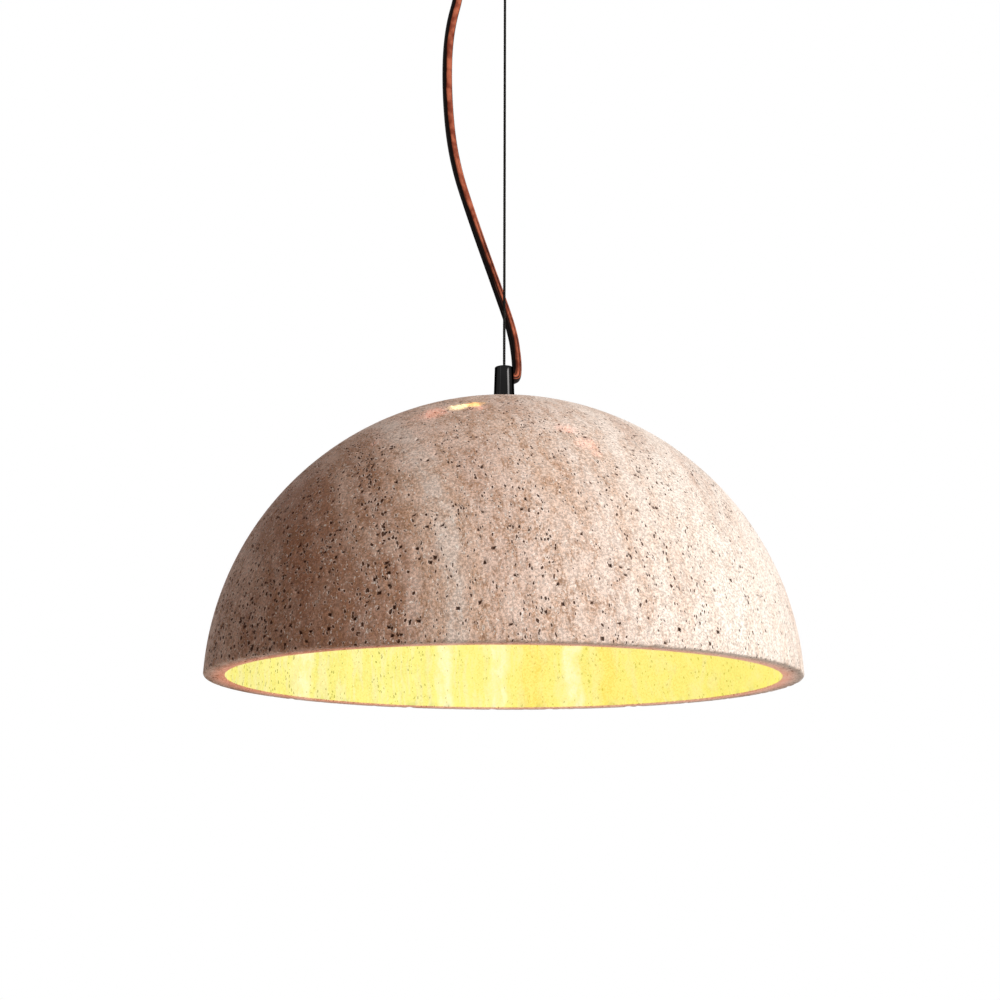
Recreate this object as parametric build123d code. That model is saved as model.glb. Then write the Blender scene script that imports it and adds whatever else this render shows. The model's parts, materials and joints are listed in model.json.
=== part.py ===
from build123d import *
import math
import os

# Travertine dome pendant, hung from a ceiling rose by one steel wire, with its own mains cord.
# Millimetres, +Z up. The origin is the middle of the ceiling face, so the lamp hangs below it.
# Azimuths run from +X towards +Y, and the viewer of the photograph stands on the -Y side.

# Driving dimensions: the stone
drop = 586.0                 # ceiling face to the open rim
sphere_radius = 200.0        # outer sphere of the stone
rim_above_centre = 5.6       # the rim plane lies this far above the sphere's centre
stone_wall = 14.0
rim_round = 1.4              # worn outer edge of the rim
rim_round_inside = 0.8
spot_face_radius = 8.2       # flat ground on the crown for the fitting
seat_radius = 20.0           # flat ground inside the crown for the gasket
seat_depth = 0.2
crown_hole_radius = 5.6

# Driving dimensions: the ceiling rose
canopy_radius = 55.0
canopy_height = 26.0
canopy_wall = 1.5
canopy_corner = 4.0
strap_length = 96.0
strap_width = 20.0
strap_thickness = 2.0
strap_corner = 1.5
slot_spacing = 60.0
slot_width = 5.0
slot_length = 14.0
wing_width = 32.0
wing_reach = 36.0
boss_radius = 9.0
boss_height = 8.0
block_length, block_width, block_height = 28.0, 17.0, 12.0
block_middle_y = 24.5
block_corner = 1.0
pole_pitch = 9.0
pole_hole_radius = 2.0
pole_hole_above_base = 5.0
pole_screw_inset = 4.0         # from the block's face to the middle of the screw
pole_screw_length = 2.2
pole_screw_depth = 0.4         # how far its slotted end lies inside the block
pole_screw_gap = 0.3
earth_screw_x = -15.0
lug_radius = 3.2
lug_thickness = 0.8
barrel_length = 4.5
barrel_wall = 0.4

# Driving dimensions: threads, the hollow tubes and their nuts
thread_radius = 5.0          # M10 by 1 tube
thread_clearance = 0.05
hex_m10 = 14.0               # width across the flats
nut_thickness = 5.0
nipple_bore = 2.2
nipple_in_gripper = 8.0
nipple_below_strap = 0.5
stem_bore = 3.75
stem_in_fitting = 8.0
stem_past_neck = 1.0
m3_radius = 1.5
screw_clearance = 0.03
pan_head_radius = 2.8
pan_head_height = 2.0
pan_head_round = 0.8
driver_slot_width = 0.8
driver_slot_depth = 0.9

# Driving dimensions: the wire and its gripper
wire_radius = 1.0
wire_gap = 0.3               # room round the wire in its guides
crimp_gap = 0.03
wire_joint_gap = 0.3         # between the fixed tail and the swinging stretch
wire_tail_below_strap = 4.0
wire_stop_length = 4.0
wire_stop_gap = 0.3
gripper_radius = 6.5
gripper_height = 28.0
gripper_chamfer = 0.8
chamber_radius = 4.0
chamber_depth = 9.0          # from the tube's end to the top of the cone
cone_height = 6.0
nose_radius = 2.7
nose_gap = 0.1
nose_round = 0.6
nose_length = 4.0            # how far the release nose stands out
press_travel = 2.5
ball_radius = 1.2
ball_count = 3
ball_gap = 0.02
ball_window_gap = 0.1
ball_below_cone_top = 2.5
spring_wire_radius = 0.35
spring_turns = 3
spring_space = 5.5           # from the tube's end to the nose's collar
spring_end_gap = 0.05
spring_side_gap = 0.2
collar_radius = 3.7
collar_height = 1.5

# Driving dimensions: the fitting on the crown
fitting_height = 29.5
fitting_top_radius = 6.75
fitting_base_radius = 7.6
fitting_edge = 0.5
fitting_top_wall = 2.7
fitting_cavity_radius = 5.5
cavity_above_stem = 2.0
fitting_wire_gap = 0.15
ferrule_radius = 2.2
ferrule_length = 6.0
cord_hole_below_top = 6.1
cord_side = 56.0             # azimuth of the side hole
grub_side = 135.0
grub_above_base = 4.2
grub_inset = 0.5
grub_socket_depth = 1.2
grub_hex = 1.5

# Driving dimensions: the mains cord
cord_radius = 3.7
cord_gap = 0.12
gland_x, gland_y = -33.0, 9.0
gland_drop = 20.0
gland_radius = 6.5
gland_tip_radius = 5.2
gland_neck_radius = 5.6
gland_hex = 14.0
gland_edge = 0.6
gland_neck_above_nut = 1.0
gland_nut_thickness = 3.0
sheath_above_nut = 3.0
lead_radius = 0.9
sheath_wall = 0.8

# Driving dimensions: the lampholder
gasket_radius = 18.0
gasket_thickness = 2.0
washer_radius = 17.0
washer_thickness = 2.0
holder_gap = 0.2
neck_radius = 8.0
neck_height = 8.0
shoulder_height = 8.0
shoulder_inset = 5.0
shoulder_fall = 1.5
holder_radius = 20.0
holder_wall = 2.2
cap_height = 28.0
skirt_height = 31.0
spigot_height = 4.0
spigot_gap = 0.1
skirt_bevel = 1.5
skirt_bevel_height = 2.0
insert_above_joint = 2.0
insert_thickness = 10.0
insert_gap = 0.1
shell_bore = 13.55
shell_wall = 0.6
shell_length = 21.0
shell_flange_hole = 6.0
contact_radius = 3.0
contact_thickness = 1.5
terminal_offset = 9.0
terminal_size = 6.0
terminal_rivet = 1.2
terminal_screw_radius = 1.8
terminal_screw_height = 1.5
terminal_hole_depth = 4.0
earth_terminal_width = 5.0

# Driving dimensions: the bulb
bulb_contact_gap = 0.3
bulb_cap_radius = 13.05
bulb_cap_length = 22.0
bulb_tip_radius = 4.5
bulb_tip_height = 1.2
bulb_glass_cone = 1.4
bulb_glass_depth = 2.0
bulb_cap_wall = 0.6
bulb_cap_fit = 0.05
collar_spigot = 4.0
collar_past_cap = 0.9
globe_neck_radius = 15.9     # where the collar meets the globe
globe_radius = 22.5
bulb_length = 78.0
bulb_wall = 1.0

# Places worked out from the dimensions
rim_z = -drop
centre_z = rim_z - rim_above_centre
inner_radius = sphere_radius - stone_wall
crown_z = centre_z + math.sqrt(sphere_radius ** 2 - spot_face_radius ** 2)
seat_z = centre_z + inner_radius + seat_depth
rose_floor = -canopy_height
rose_inside = rose_floor + canopy_wall
gripper_bottom = rose_floor - gripper_height
mouth_z = gripper_bottom - nose_length
fitting_top = crown_z + fitting_height
cavity_top = fitting_top - fitting_top_wall
wire_bottom = cavity_top - ferrule_length
cord_hole_z = fitting_top - cord_hole_below_top
nipple_bottom = rose_floor - nipple_in_gripper
stem_top = crown_z + stem_in_fitting
gasket_bottom = seat_z - gasket_thickness
washer_bottom = gasket_bottom - washer_thickness
stem_nut_bottom = washer_bottom - nut_thickness
holder_top = stem_nut_bottom - holder_gap
stem_bottom = holder_top - neck_height - stem_past_neck
cap_bottom = holder_top - cap_height
skirt_bottom = cap_bottom - skirt_height
insert_top = cap_bottom + insert_above_joint
insert_bottom = insert_top - insert_thickness
skirt_bore = shell_bore + shell_wall + insert_gap
contact_bottom = insert_bottom - contact_thickness
tip_top = contact_bottom - bulb_contact_gap
bulb_cap_top = tip_top - bulb_tip_height - bulb_glass_cone
bulb_cap_bottom = bulb_cap_top - bulb_cap_length
globe_z = tip_top - bulb_length + globe_radius
globe_top_z = globe_z + math.sqrt(globe_radius ** 2 - globe_neck_radius ** 2)
gland_bottom = rose_floor - gland_drop
gland_nut_top = rose_inside + gland_nut_thickness
sheath_top = gland_nut_top + sheath_above_nut
cord_end_reach = fitting_cavity_radius + 0.1

FULL = 360


# Helpers
def disc(radius, top, bottom, x=0.0, y=0.0):
    """A round bar that stands along Z."""
    middle = (top + bottom) / 2
    return Pos(x, y, middle) * Cylinder(radius, top - bottom)


def ring(outer, inner, top, bottom, x=0.0, y=0.0):
    """A round tube that stands along Z."""
    return disc(outer, top, bottom, x, y) - disc(inner, top + 1, bottom - 1, x, y)


def block(low, high):
    """A box between two corners."""
    size = [b - a for a, b in zip(low, high)]
    middle = [(a + b) / 2 for a, b in zip(low, high)]
    return Pos(*middle) * Box(*size)


def hexagon(flats, top, bottom, x=0.0, y=0.0):
    """A six-sided bar that stands along Z."""
    outline = RegularPolygon(flats / 2, 6, major_radius=False)
    return Pos(x, y, bottom) * extrude(outline, top - bottom)


def turned(points):
    """A turned piece, from its half outline as (radius, z) points."""
    outline = Polyline([(r, 0, z) for r, z in points], close=True)
    return revolve(make_face(outline), Axis.Z, FULL)


def radial_bar(radius, near, far, z, azimuth):
    """A round bar that lies level and points away from the Z axis."""
    bar = Rot(0, 90, 0) * Cylinder(radius, far - near)
    return Rot(0, 0, azimuth) * Pos((near + far) / 2, 0, z) * bar


def corner_radii(points):
    """The arc at each corner of a route: 0.45 of the shorter run over the half turn's tangent."""
    radii = []
    for before, here, after in zip(points, points[1:], points[2:]):
        run_in = Vector(*here) - Vector(*before)
        run_out = Vector(*after) - Vector(*here)
        half_turn = math.radians(run_in.get_angle(run_out)) / 2
        shorter = min(run_in.length, run_out.length)
        radii.append(0.45 * shorter / math.tan(half_turn))
    return radii


def route(points):
    """Straight runs joined by tangent arcs."""
    if len(points) == 2:
        return Line(points[0], points[1])
    return FilletPolyline(*points, radius=corner_radii(points))


def tube(points, radius):
    """A round tube along a route."""
    path = route(points)
    start = Plane(origin=path @ 0, z_dir=path % 0)
    return sweep(start * Circle(radius), path=path)


def about(azimuth, along, across, z):
    """A point given by its reach along an azimuth, its offset to the left of it, and its height."""
    turn = math.radians(azimuth)
    x = along * math.cos(turn) - across * math.sin(turn)
    y = along * math.sin(turn) + across * math.cos(turn)
    return (x, y, z)


parts = {}

# Stone shade
# A shell cut from one block: outer and inner spheres share a centre, and the rim is a flat cut
# just above it. The crown is drilled, with a flat ground outside and another inside.
shell = Pos(0, 0, centre_z) * (Sphere(sphere_radius) - Sphere(inner_radius))
keep = block((-sphere_radius - 1, -sphere_radius - 1, rim_z),
             (sphere_radius + 1, sphere_radius + 1, centre_z + sphere_radius + 1))
shade = shell & keep
rim_edges = shade.edges().group_by(Axis.Z)[0].sort_by(SortBy.LENGTH)
shade = fillet(rim_edges[-1], rim_round)
rim_edges = shade.edges().filter_by(GeomType.CIRCLE).group_by(Axis.Z)[0].sort_by(SortBy.LENGTH)
shade = fillet(rim_edges[0], rim_round_inside)
shade -= disc(crown_hole_radius, centre_z + sphere_radius + 1, centre_z + inner_radius - 1)
shade -= disc(spot_face_radius, centre_z + sphere_radius + 1, crown_z)
shade -= disc(seat_radius, seat_z, seat_z - stone_wall)
parts["stone_shade"] = shade

# Fitting on the crown
# A tapered cap of black nickel: the wire hangs in its top wall, the cord goes in at its side.
fitting = Pos(0, 0, crown_z + fitting_height / 2) * Cone(
    fitting_base_radius, fitting_top_radius, fitting_height)
fitting = fillet(fitting.edges().group_by(Axis.Z)[-1], fitting_edge)
fitting -= disc(fitting_cavity_radius, cavity_top, stem_top + cavity_above_stem)
fitting -= disc(thread_radius + thread_clearance, stem_top + cavity_above_stem + 1, crown_z - 1)
fitting -= disc(wire_radius + fitting_wire_gap, fitting_top + 1, cavity_top - 1)
fitting -= radial_bar(cord_radius + cord_gap, fitting_cavity_radius - 2, fitting_base_radius + 2,
                      cord_hole_z, cord_side)
grub_z = crown_z + grub_above_base
fitting -= radial_bar(m3_radius + screw_clearance, thread_radius, fitting_base_radius + 2, grub_z, grub_side)
parts["stem_fitting"] = fitting
grub_out = fitting_base_radius - grub_inset
grub = radial_bar(m3_radius, thread_radius + thread_clearance, grub_out, grub_z, grub_side)
hex_socket = hexagon(grub_hex, grub_socket_depth + 1, 0)
socket_start = Pos(grub_out - grub_socket_depth, 0, grub_z)
hex_socket = Rot(0, 0, grub_side) * socket_start * Rot(0, 90, 0) * hex_socket
parts["fitting_grub_screw"] = grub - hex_socket

parts["wire_ferrule"] = ring(ferrule_radius, wire_radius + crimp_gap, cavity_top,
                             wire_bottom)
parts["stem_tube"] = ring(thread_radius, stem_bore, stem_top, stem_bottom)
stem_hole = thread_radius + thread_clearance
parts["inner_gasket"] = ring(gasket_radius, stem_hole, seat_z, gasket_bottom)
parts["inner_washer"] = ring(washer_radius, stem_hole, gasket_bottom, washer_bottom)
nut = hexagon(hex_m10, washer_bottom, stem_nut_bottom)
parts["stem_nut"] = nut - disc(stem_hole, washer_bottom + 1, stem_nut_bottom - 1)

# Suspension wire
# It swings at the gripper's mouth, so its free stretch starts there in a rounded end.
wire = disc(wire_radius, mouth_z, wire_bottom) + Pos(0, 0, mouth_z) * Sphere(wire_radius)
parts["suspension_wire"] = wire
wire_tail_top = -strap_thickness - wire_tail_below_strap
parts["wire_tail"] = disc(wire_radius, wire_tail_top, mouth_z + wire_radius + wire_joint_gap)
stop_bottom = wire_tail_top - wire_stop_length
parts["wire_tail_stop"] = ring(nipple_bore - wire_stop_gap, wire_radius + crimp_gap,
                               wire_tail_top, stop_bottom)

# Gripper: body, release nose, balls and spring
cone_top = nipple_bottom - chamber_depth
cone_bottom = cone_top - cone_height
narrow = nose_radius + nose_gap
body = disc(gripper_radius, rose_floor, gripper_bottom)
body = chamfer(body.edges().group_by(Axis.Z)[0], gripper_chamfer)
body -= disc(stem_hole, rose_floor + 1, nipple_bottom)
body -= disc(chamber_radius, nipple_bottom + 1, cone_top)
body -= Pos(0, 0, (cone_top + cone_bottom) / 2) * Cone(narrow, chamber_radius, cone_height)
body -= disc(narrow, cone_bottom + 1, gripper_bottom - 1)
parts["gripper_body"] = body

ball_z = cone_top - ball_below_cone_top
collar_top = nipple_bottom - spring_space
collar_bottom = collar_top - collar_height
ball_reach = wire_radius + ball_radius + ball_gap
nose = disc(nose_radius, collar_bottom, mouth_z) + disc(collar_radius, collar_top, collar_bottom)
nose = fillet(nose.edges().group_by(Axis.Z)[0], nose_round)
nose -= disc(wire_radius + wire_gap, collar_top + 1, mouth_z - 1)
balls = []
for index in range(ball_count):
    ball_side = index * FULL / ball_count
    nose -= radial_bar(ball_radius + ball_window_gap, 0, collar_radius + 1, ball_z, ball_side)
    balls.append(Pos(*about(ball_side, ball_reach, 0, ball_z)) * Sphere(ball_radius))
parts["gripper_plunger"] = nose
parts["gripper_balls"] = Compound(children=balls)

spring_room = nipple_bottom - collar_top - 2 * (spring_wire_radius + spring_end_gap)
spring_pitch = spring_room / spring_turns
spring_reach = collar_radius - spring_wire_radius - spring_side_gap
spring_start = collar_top + spring_wire_radius + spring_end_gap
coil = Helix(spring_pitch, spring_room, spring_reach, center=(0, 0, spring_start))
coil_end = Plane(origin=coil @ 0, z_dir=coil % 0)
parts["gripper_spring"] = sweep(coil_end * Circle(spring_wire_radius), path=coil, is_frenet=True)
print("spring: least gap between turns %.2f mm" % (spring_pitch - 2 * spring_wire_radius))

# Ceiling rose: bracket, tube, nuts and cup
strap = block((-strap_length / 2, -strap_width / 2, -strap_thickness),
              (strap_length / 2, strap_width / 2, 0))
wing = block((-wing_width / 2, 0, -strap_thickness), (wing_width / 2, wing_reach, 0))
bracket = fillet((strap + wing).edges().filter_by(Axis.Z), strap_corner)
boss_bottom = -strap_thickness - boss_height
bracket += disc(boss_radius, -strap_thickness, boss_bottom)
bracket -= disc(thread_radius + thread_clearance, -strap_thickness, boss_bottom - 1)
ceiling_slot = extrude(SlotOverall(slot_length, slot_width), strap_thickness + 2)
for slot_x in (-slot_spacing / 2, slot_spacing / 2):
    bracket -= Pos(slot_x, 0, -strap_thickness - 1) * ceiling_slot
fixing_x, fixing_y = pole_pitch / 2, block_middle_y
for x, y in ((fixing_x, fixing_y), (earth_screw_x, 0)):
    bracket -= disc(m3_radius + screw_clearance, 1, -strap_thickness - 1, x, y)
parts["ceiling_bracket"] = bracket

nipple_top = -strap_thickness - nipple_below_strap
parts["rose_nipple"] = ring(thread_radius, nipple_bore, nipple_top, nipple_bottom)
lock_nut_top = boss_bottom
clamp_nut_top = rose_inside + nut_thickness
nuts = []
for top in (lock_nut_top, clamp_nut_top):
    nut_body = hexagon(hex_m10, top, top - nut_thickness)
    nuts.append(nut_body - disc(stem_hole, top + 1, top - nut_thickness - 1))
parts["rose_nuts"] = Compound(children=nuts)

cup = disc(canopy_radius, 0, rose_floor)
cup = fillet(cup.edges().group_by(Axis.Z)[0], canopy_corner)
hollow = disc(canopy_radius - canopy_wall, 1, rose_inside)
hollow = fillet(hollow.edges().group_by(Axis.Z)[0], canopy_corner - canopy_wall)
cup -= hollow
cup -= disc(stem_hole, rose_inside + 1, rose_floor - 1)
cup -= disc(gland_neck_radius + thread_clearance, rose_inside + 1, rose_floor - 1, gland_x, gland_y)
parts["canopy_cup"] = cup

# Cord gland: a tapered collar under the cup, its neck through the floor and its nut inside
neck_top = gland_nut_top + gland_neck_above_nut
gland = Pos(gland_x, gland_y, (rose_floor + gland_bottom) / 2) * Cone(
    gland_tip_radius, gland_radius, gland_drop)
gland = fillet(gland.edges().group_by(Axis.Z)[0], gland_edge)
gland += disc(gland_neck_radius, neck_top, rose_floor, gland_x, gland_y)
gland -= disc(cord_radius + cord_gap, neck_top + 1, gland_bottom - 1, gland_x, gland_y)
parts["cord_gland"] = gland
gland_nut = hexagon(gland_hex, gland_nut_top, rose_inside, gland_x, gland_y)
gland_thread = gland_neck_radius + thread_clearance
parts["gland_nut"] = gland_nut - disc(gland_thread, 0, rose_inside - 1, gland_x, gland_y)

# Terminal block under the bracket's wing, its screws, and the earth screw with its ring
block_top = -strap_thickness
block_bottom = block_top - block_height
front_y = block_middle_y - block_width / 2
back_y = block_middle_y + block_width / 2
terminal = block((-block_length / 2, front_y, block_bottom), (block_length / 2, back_y, block_top))
terminal = fillet(terminal.edges().filter_by(Axis.Z), block_corner)
wire_entry_z = block_bottom + pole_hole_above_base
screw_hole_top = wire_entry_z - pole_hole_radius + 0.2
screw_low = block_bottom + pole_screw_depth
slot_floor = screw_low + driver_slot_depth / 2
screws = []
for pole in (-1, 0, 1):
    x = pole * pole_pitch
    entry = Rot(90, 0, 0) * Cylinder(pole_hole_radius, block_width + 2)
    terminal -= Pos(x, block_middle_y, wire_entry_z) * entry
    for y in (front_y + pole_screw_inset, back_y - pole_screw_inset):
        terminal -= disc(m3_radius + pole_screw_gap, screw_hole_top, block_bottom - 1, x, y)
        screw = disc(m3_radius, screw_low + pole_screw_length, screw_low, x, y)
        driver_slot = block((x - m3_radius, y - driver_slot_width / 3, block_bottom),
                            (x + m3_radius, y + driver_slot_width / 3, slot_floor))
        screws.append(screw - driver_slot)
terminal -= disc(m3_radius + pole_screw_gap, block_top + 1, block_bottom - 1, fixing_x, fixing_y)
parts["terminal_block"] = terminal
parts["terminal_screws"] = Compound(children=screws)


def pan_screw(x, y, seat, top):
    """A pan-head machine screw driven upwards, its head's flat face at seat."""
    low = seat - pan_head_height
    head = disc(pan_head_radius, seat, low, x, y)
    head = fillet(head.edges().group_by(Axis.Z)[0], pan_head_round)
    driver_slot = block((x - pan_head_radius, y - driver_slot_width / 2, low - 1),
                        (x + pan_head_radius, y + driver_slot_width / 2, low + driver_slot_depth))
    return head + disc(m3_radius, top, seat, x, y) - driver_slot


parts["terminal_fixing_screw"] = pan_screw(fixing_x, fixing_y, block_bottom, 0)
ring_bottom = -strap_thickness - lug_thickness
parts["earth_screw"] = pan_screw(earth_screw_x, 0, ring_bottom, 0)

# Mains cord
# It leaves the gland, bows to the left, passes behind the wire and curls into the fitting's side.
cord_stand_off = 16.3        # from the axis of the fitting to the cord beside it
curl = 8.0                   # radius of the last bend
half_corner = curl * math.tan(math.radians(22.5))
cord_route = [
    (gland_x, gland_y, sheath_top),
    (gland_x, gland_y, -60.0),
    (-42.5, 11.0, -92.0),
    (-44.0, 12.0, -140.0),
    (-38.5, 12.5, -194.0),
    (-23.5, 12.5, -243.0),
    (-6.5, 12.5, -293.0),
    (6.0, 12.8, -330.0),
    about(cord_side, cord_stand_off, 0, -352.0),
    about(cord_side, cord_stand_off, 0, cord_hole_z + curl - half_corner),
    about(cord_side, cord_stand_off - curl + half_corner, 0, cord_hole_z),
    about(cord_side, cord_end_reach, 0, cord_hole_z),
]
cord = tube(cord_route, cord_radius)
parts["power_cord"] = cord
cord_length = route(cord_route).length
print("cord: length %.1f mm, arc radii" % cord_length,
      ["%.0f" % radius for radius in corner_radii(cord_route)])
print("cord: volume over section times length %.4f"
      % (cord.volume / (math.pi * cord_radius ** 2 * cord_length)))

# Leads inside the rose, from the cord's end to the block's poles and the earth ring
spread = cord_radius - lead_radius - sheath_wall
lead_end_y = front_y + pole_screw_inset
lead_side = {"live": 90, "neutral": 330, "earth": 210}
lead_start = {}
for name, around in lead_side.items():
    start = about(around, spread, 0, sheath_top)
    lead_start[name] = (gland_x + start[0], gland_y + start[1])
x, y = lead_start["live"]
parts["rose_lead_live"] = tube([
    (x, y, sheath_top),
    (x, y, sheath_top + 4.5),
    (-pole_pitch - 6.0, front_y - 4.0, wire_entry_z),
    (-pole_pitch, front_y - 1.2, wire_entry_z),
    (-pole_pitch, lead_end_y, wire_entry_z),
], lead_radius)
x, y = lead_start["neutral"]
parts["rose_lead_neutral"] = tube([
    (x, y, sheath_top),
    (x, y, sheath_top + 4.5),
    (-6.5, front_y - 6.0, wire_entry_z),
    (0, front_y - 2.0, wire_entry_z),
    (0, lead_end_y, wire_entry_z),
], lead_radius)
barrel_radius = lead_radius + barrel_wall
barrel_z = -strap_thickness - barrel_radius
barrel_end = earth_screw_x - lug_radius - lug_thickness
barrel_start = barrel_end - barrel_length
x, y = lead_start["earth"]
parts["rose_lead_earth"] = tube([
    (x, y, sheath_top),
    (x, y, sheath_top + 6.5),
    (barrel_start - 5.0, y - 5.0, barrel_z - 3.5),
    (barrel_start - 2.0, 0, barrel_z),
    (barrel_end, 0, barrel_z),
], lead_radius)
barrel = Pos((barrel_start + barrel_end) / 2, 0, barrel_z) * Rot(0, 90, 0) * Cylinder(
    barrel_radius, barrel_length)
tongue = block((barrel_end - 0.5, -barrel_radius, ring_bottom),
               (earth_screw_x - m3_radius - 1, barrel_radius, -strap_thickness))
lug = disc(lug_radius, -strap_thickness, ring_bottom, earth_screw_x) + tongue + barrel
lug -= disc(m3_radius + 0.1, 0, ring_bottom - 1, earth_screw_x)
lug -= Pos(barrel_start, 0, barrel_z) * Rot(0, 90, 0) * Cylinder(
    lead_radius + 0.02, 2 * barrel_length + 0.1)
parts["earth_ring"] = lug

# Leads from the cord's inner end, past the ferrule and down the stem to the holder
stem_leads = {"live": -1.9, "neutral": 1.9, "earth": 0.0}
terminal_top = insert_top + terminal_size
ends = {"live": (terminal_offset, 0), "neutral": (-terminal_offset, 0), "earth": (0, terminal_offset)}
for name, across in stem_leads.items():
    drop_at = 4.05 if across == 0 else 3.6
    low_at = 1.75 if across == 0 else -0.9
    low_across = across if across else 0.0
    end_x, end_y = ends[name]
    parts["stem_lead_" + name] = tube([
        about(cord_side, cord_end_reach, across, cord_hole_z),
        about(cord_side, drop_at, across, cord_hole_z),
        about(cord_side, drop_at, across, stem_top + 4.5),
        about(cord_side, low_at, low_across * 0.8, stem_top - 3.0),
        about(cord_side, low_at, low_across * 0.8, stem_bottom - 0.8),
        (end_x, end_y, terminal_top + 3.5),
        (end_x, end_y, terminal_top),
    ], lead_radius)

# Lampholder: cap, skirt, ceramic insert and its brass
cap_inside = holder_radius - holder_wall
shoulder_top = holder_top - neck_height
shoulder_bottom = shoulder_top - shoulder_height
shoulder_reach = holder_radius - shoulder_inset
cap = turned([
    (stem_hole, holder_top), (neck_radius, holder_top), (neck_radius, shoulder_top),
    (shoulder_reach, shoulder_top - shoulder_fall), (holder_radius, shoulder_bottom),
    (holder_radius, cap_bottom), (cap_inside, cap_bottom),
    (cap_inside, shoulder_bottom - holder_wall / 3),
    (shoulder_reach - 0.7 * holder_wall, shoulder_top - shoulder_fall - holder_wall),
    (stem_hole, shoulder_top - holder_wall),
])
parts["lampholder_cap"] = cap
spigot = cap_inside - spigot_gap
skirt = turned([
    (skirt_bore, cap_bottom + spigot_height), (spigot, cap_bottom + spigot_height),
    (spigot, cap_bottom), (holder_radius, cap_bottom),
    (holder_radius, skirt_bottom + skirt_bevel_height),
    (holder_radius - skirt_bevel, skirt_bottom), (skirt_bore, skirt_bottom),
])
parts["lampholder_skirt"] = skirt
insert_radius = skirt_bore - insert_gap
insert = disc(insert_radius, insert_top, insert_bottom)
for x in (-terminal_offset, terminal_offset):
    insert -= disc(terminal_rivet + thread_clearance, insert_top + 1, insert_bottom - 1, x)
parts["lampholder_insert"] = insert
shell_radius = shell_bore + shell_wall
shell_bottom = insert_bottom - shell_length
flange = ring(shell_radius, shell_flange_hole, insert_bottom, insert_bottom - shell_wall)
screw_shell = flange + ring(shell_radius, shell_bore, insert_bottom, shell_bottom)
parts["screw_shell"] = screw_shell
contact = disc(contact_radius, insert_bottom, contact_bottom)
parts["centre_contact"] = fillet(contact.edges().group_by(Axis.Z)[0], 0.6)
terminals = []
half = terminal_size / 2
screw_seat = terminal_offset + half
for screw_side in (0, 180):
    x = terminal_offset if screw_side == 0 else -terminal_offset
    post = block((x - half, -half, insert_top), (x + half, half, terminal_top))
    post -= disc(lead_radius + barrel_wall / 4, terminal_top + 1, terminal_top - terminal_hole_depth, x)
    post += disc(terminal_rivet, insert_top, insert_bottom, x)
    head = radial_bar(terminal_screw_radius, screw_seat, screw_seat + terminal_screw_height,
                      insert_top + half, screw_side)
    terminals.append(post + head)
parts["holder_terminals"] = Compound(children=terminals)
earth_half = earth_terminal_width / 2
earth_post = block((-earth_half, terminal_offset - earth_half, insert_top),
                   (earth_half, terminal_offset + earth_half, terminal_top))
parts["holder_earth_terminal"] = earth_post

# Bulb: cap, insulator, tip, collar and globe
parts["bulb_cap"] = ring(bulb_cap_radius, bulb_cap_radius - bulb_cap_wall,
                         bulb_cap_top, bulb_cap_bottom)
in_cap = bulb_cap_radius - bulb_cap_wall - bulb_cap_fit
insulator_bottom = bulb_cap_top - bulb_glass_depth
glass = turned([
    (0, tip_top - bulb_tip_height), (bulb_tip_radius + bulb_cap_wall, tip_top - bulb_tip_height),
    (in_cap - bulb_cap_fit, bulb_cap_top), (in_cap, insulator_bottom),
    (0, insulator_bottom),
])
parts["bulb_insulator"] = glass
tip = disc(bulb_tip_radius, tip_top, tip_top - bulb_tip_height)
parts["bulb_tip"] = fillet(tip.edges().group_by(Axis.Z)[-1], bulb_tip_height / 2)
collar_piece = Pos(0, 0, (bulb_cap_bottom + globe_top_z) / 2) * Cone(
    globe_neck_radius, bulb_cap_radius + collar_past_cap, bulb_cap_bottom - globe_top_z)
collar_piece += disc(in_cap, bulb_cap_bottom + collar_spigot, bulb_cap_bottom)
globe = Pos(0, 0, globe_z) * Sphere(globe_radius)
globe -= Pos(0, 0, globe_z) * Sphere(globe_radius - bulb_wall)
globe -= disc(globe_radius, globe_z + globe_radius + 1, globe_top_z)
parts["bulb_collar"] = collar_piece
parts["bulb_globe"] = globe

os.makedirs("parts", exist_ok=True)
for name, shape in parts.items():
    export_step(shape, "parts/" + name + ".step")
    print(name, "%.0f mm3" % shape.volume)
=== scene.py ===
# %% [markdown]
# # A travertine dome pendant
# The lamp is a heavy half sphere of travertine, hung by one steel wire, with a leather-covered
# mains cord that bows away from the wire and curls back into a small black fitting on the crown.
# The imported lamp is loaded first. It gives every size and place, and nothing in it is moved:
# each new piece is made around it, in metres, with the ceiling at z = 0.

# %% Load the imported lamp
import json
import math
import random
import bpy
import bmesh
from mathutils import Matrix, Vector, noise


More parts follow.
